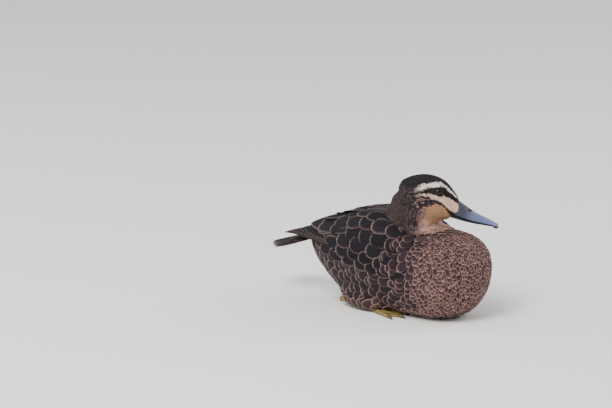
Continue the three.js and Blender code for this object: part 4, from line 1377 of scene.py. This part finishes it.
def toe_rings(k):
    t = np.linspace(0, 1, 26)
    end = toe_end(k)
    line = FOOT_AT + (end - FOOT_AT) * t[:, None]
    line[:, 2] += 0.5 * np.sin(math.pi * t)
    knuckles = 0.5 * np.exp(-(((t - 0.36) / 0.06) ** 2)) + 0.42 * np.exp(-(((t - 0.7) / 0.05) ** 2))
    radii = 2.7 - 1.05 * t + knuckles - 0.5 * ramp(t, 0.94, 1.0)
    return tube(line, radii)


def web_rings(k):
    """A thin sheet between two toes as a flat tube, with a hollow front edge."""
    rings = []
    for s in np.linspace(0, 1, 16):
        end = toe_end(k) + (toe_end(k + 1) - toe_end(k)) * s
        far = 0.93 - 0.15 * math.sin(math.pi * s)
        line = [FOOT_AT + (end - FOOT_AT) * r for r in np.linspace(0.05, far, 14)]
        top = [(p[0], p[1], 1.25 + 0.25 * math.sin(6 * i + 9 * s)) for i, p in enumerate(line)]
        low = [(p[0], p[1], 0.2) for p in reversed(line)]
        rings.append(top + low)
    return np.array(rings)


leg_skin, tree, shader = material("scaled leg skin", Roughness=0.55, Specular_IOR_Level=0.4)
leg_place = on_object(tree)
leg_scales = node(tree, "ShaderNodeMapping", {"Vector": leg_place, "Scale": (620, 900, 620)})
one_scale = {"Vector": leg_scales.outputs[0], "Scale": 1.0}
scutes = node(tree, "ShaderNodeTexVoronoi", one_scale, feature="DISTANCE_TO_EDGE")
grooves = between(tree, scutes.outputs["Distance"], 0.0, 0.18)
leg_tone = two_tone(tree, mottled(tree, leg_place, 150.0, 5.0), "#5a4a25", "#a48b4a", 0.32, 0.7)
leg_tone = scaled(tree, leg_tone, between(tree, grooves, 0.0, 1.0, 0.55, 1.0))
finished(tree, shader, leg_tone, grooves, 0.7, 0.0003)

claw_horn, tree, shader = material("claw horn", Roughness=0.35, Coat_Weight=0.2, Coat_Roughness=0.3)
claw_blots = mottled(tree, on_object(tree), 900.0, 3.0)
tree.links.new(two_tone(tree, claw_blots, "#17130f", "#3d3226"), shader.inputs["Base Color"])

for side_name, side in SIDES:
    toes_and_webs = [toe_rings(k) for k in range(3)] + [web_rings(k) for k in range(2)]
    foot = melted(f"webbed_foot_{side_name}", toes_and_webs, 0.00055, 4, side)
    t = np.linspace(0, 1, 30)
    ankle, heel = np.array([-19.7, 35.0, 3.4]), np.array([-65.0, 31.0, 7.6])
    line = ankle + (heel - ankle) * t[:, None]
    radii = 2.75 + 0.75 * np.exp(-((t / 0.12) ** 2)) + 1.0 * np.exp(-(((t - 1) / 0.1) ** 2))
    shank = melted(f"scaled_shank_{side_name}", [tube(line, radii)], 0.0006, 4, side)
    for piece, replaced in ((foot, f"foot_{side_name}"), (shank, f"shank_{side_name}")):
        piece.data.materials.append(leg_skin)
        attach(piece, "root")
        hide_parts(replaced)
    for k in range(3):
        end = toe_end(k)
        on = (end - FOOT_AT) * np.array([1, 1, 0])
        on /= np.linalg.norm(on)
        t = np.linspace(0, 1, 14)
        line = end + on * (0.6 + 6.4 * t)[:, None]
        line[:, 2] = 2.1 + 0.35 * np.sin(math.pi * t) - 1.35 * t**1.6
        rings = tube(line, 1.25 * (1 - t) ** 0.6 + 0.22, 14) * np.array([1, side, 1]) + BODY_AT
        points, faces = closed_rings(rings)
        if side < 0:
            faces = [face[::-1] for face in faces]
        claw = new_piece(f"toe_claw_{side_name}_{k + 1}", points, faces)
        claw.data.shade_smooth()
        claw.data.materials.append(claw_horn)
        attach(claw, "root")
        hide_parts(f"claw_{side_name}_{k + 1}")


# ---- Floor, light and camera ---------------------------------------------------------------------
# A plain pale floor, one broad soft light above to the camera's left, a weaker one further round to
# the left, one behind on the right, and a pale room.

bpy.ops.object.select_all(action="DESELECT")
bpy.ops.mesh.primitive_plane_add(size=12, location=(0, 0, 0))
floor = bpy.context.object
floor.name = "floor"
pale, tree, shader = material("pale floor", Roughness=0.8)
shader.inputs["Base Color"].default_value = (*linear("#efede9"), 1)
floor.data.materials.append(pale)


def soft_light(name, place, size, power, colour):
    lamp = bpy.data.lights.new(name, "AREA")
    lamp.shape = "DISK"
    lamp.size = size
    lamp.energy = power
    lamp.color = colour
    made = in_scene(name, lamp)
    made.location = place
    made.rotation_euler = (Vector((0, 0, 0.08)) - Vector(place)).to_track_quat("-Z", "Y").to_euler()


soft_light("key", (0.3, -1.6, 1.9), 1.3, 68, (1.0, 0.98, 0.95))
soft_light("fill", (-1.8, -0.6, 1.0), 1.6, 16, (0.93, 0.96, 1.0))
soft_light("rim", (0.9, 1.9, 1.3), 1.2, 22, (1.0, 0.99, 0.97))
room = bpy.data.worlds.new("pale room")
bpy.context.scene.world = room
room.use_nodes = True
room.node_tree.nodes["Background"].inputs["Color"].default_value = (0.86, 0.89, 0.93, 1)
room.node_tree.nodes["Background"].inputs["Strength"].default_value = 0.9

CAMERA_TURN, CAMERA_RISE, CAMERA_AWAY = math.radians(40), math.radians(12), 6.0
AIM_RIGHT, AIM_UP, PICTURE_WIDE, SENSOR_WIDE = -0.1115, 0.1227, 0.722, 36
level = math.cos(CAMERA_RISE)
rightward = Vector((math.cos(CAMERA_TURN), math.sin(CAMERA_TURN), 0))
backward = Vector((math.sin(CAMERA_TURN) * level, -math.cos(CAMERA_TURN) * level, math.sin(CAMERA_RISE)))
upward = backward.cross(rightward)
aim = Vector((0.036, 0, 0)) + rightward * AIM_RIGHT + upward * AIM_UP
lens = bpy.data.cameras.new("camera")
lens.sensor_width = SENSOR_WIDE
lens.lens = SENSOR_WIDE * CAMERA_AWAY / PICTURE_WIDE
camera = in_scene("camera", lens)
camera.location = aim + backward * CAMERA_AWAY
camera.rotation_euler = backward.to_track_quat("Z", "Y").to_euler()
bpy.context.scene.camera = camera
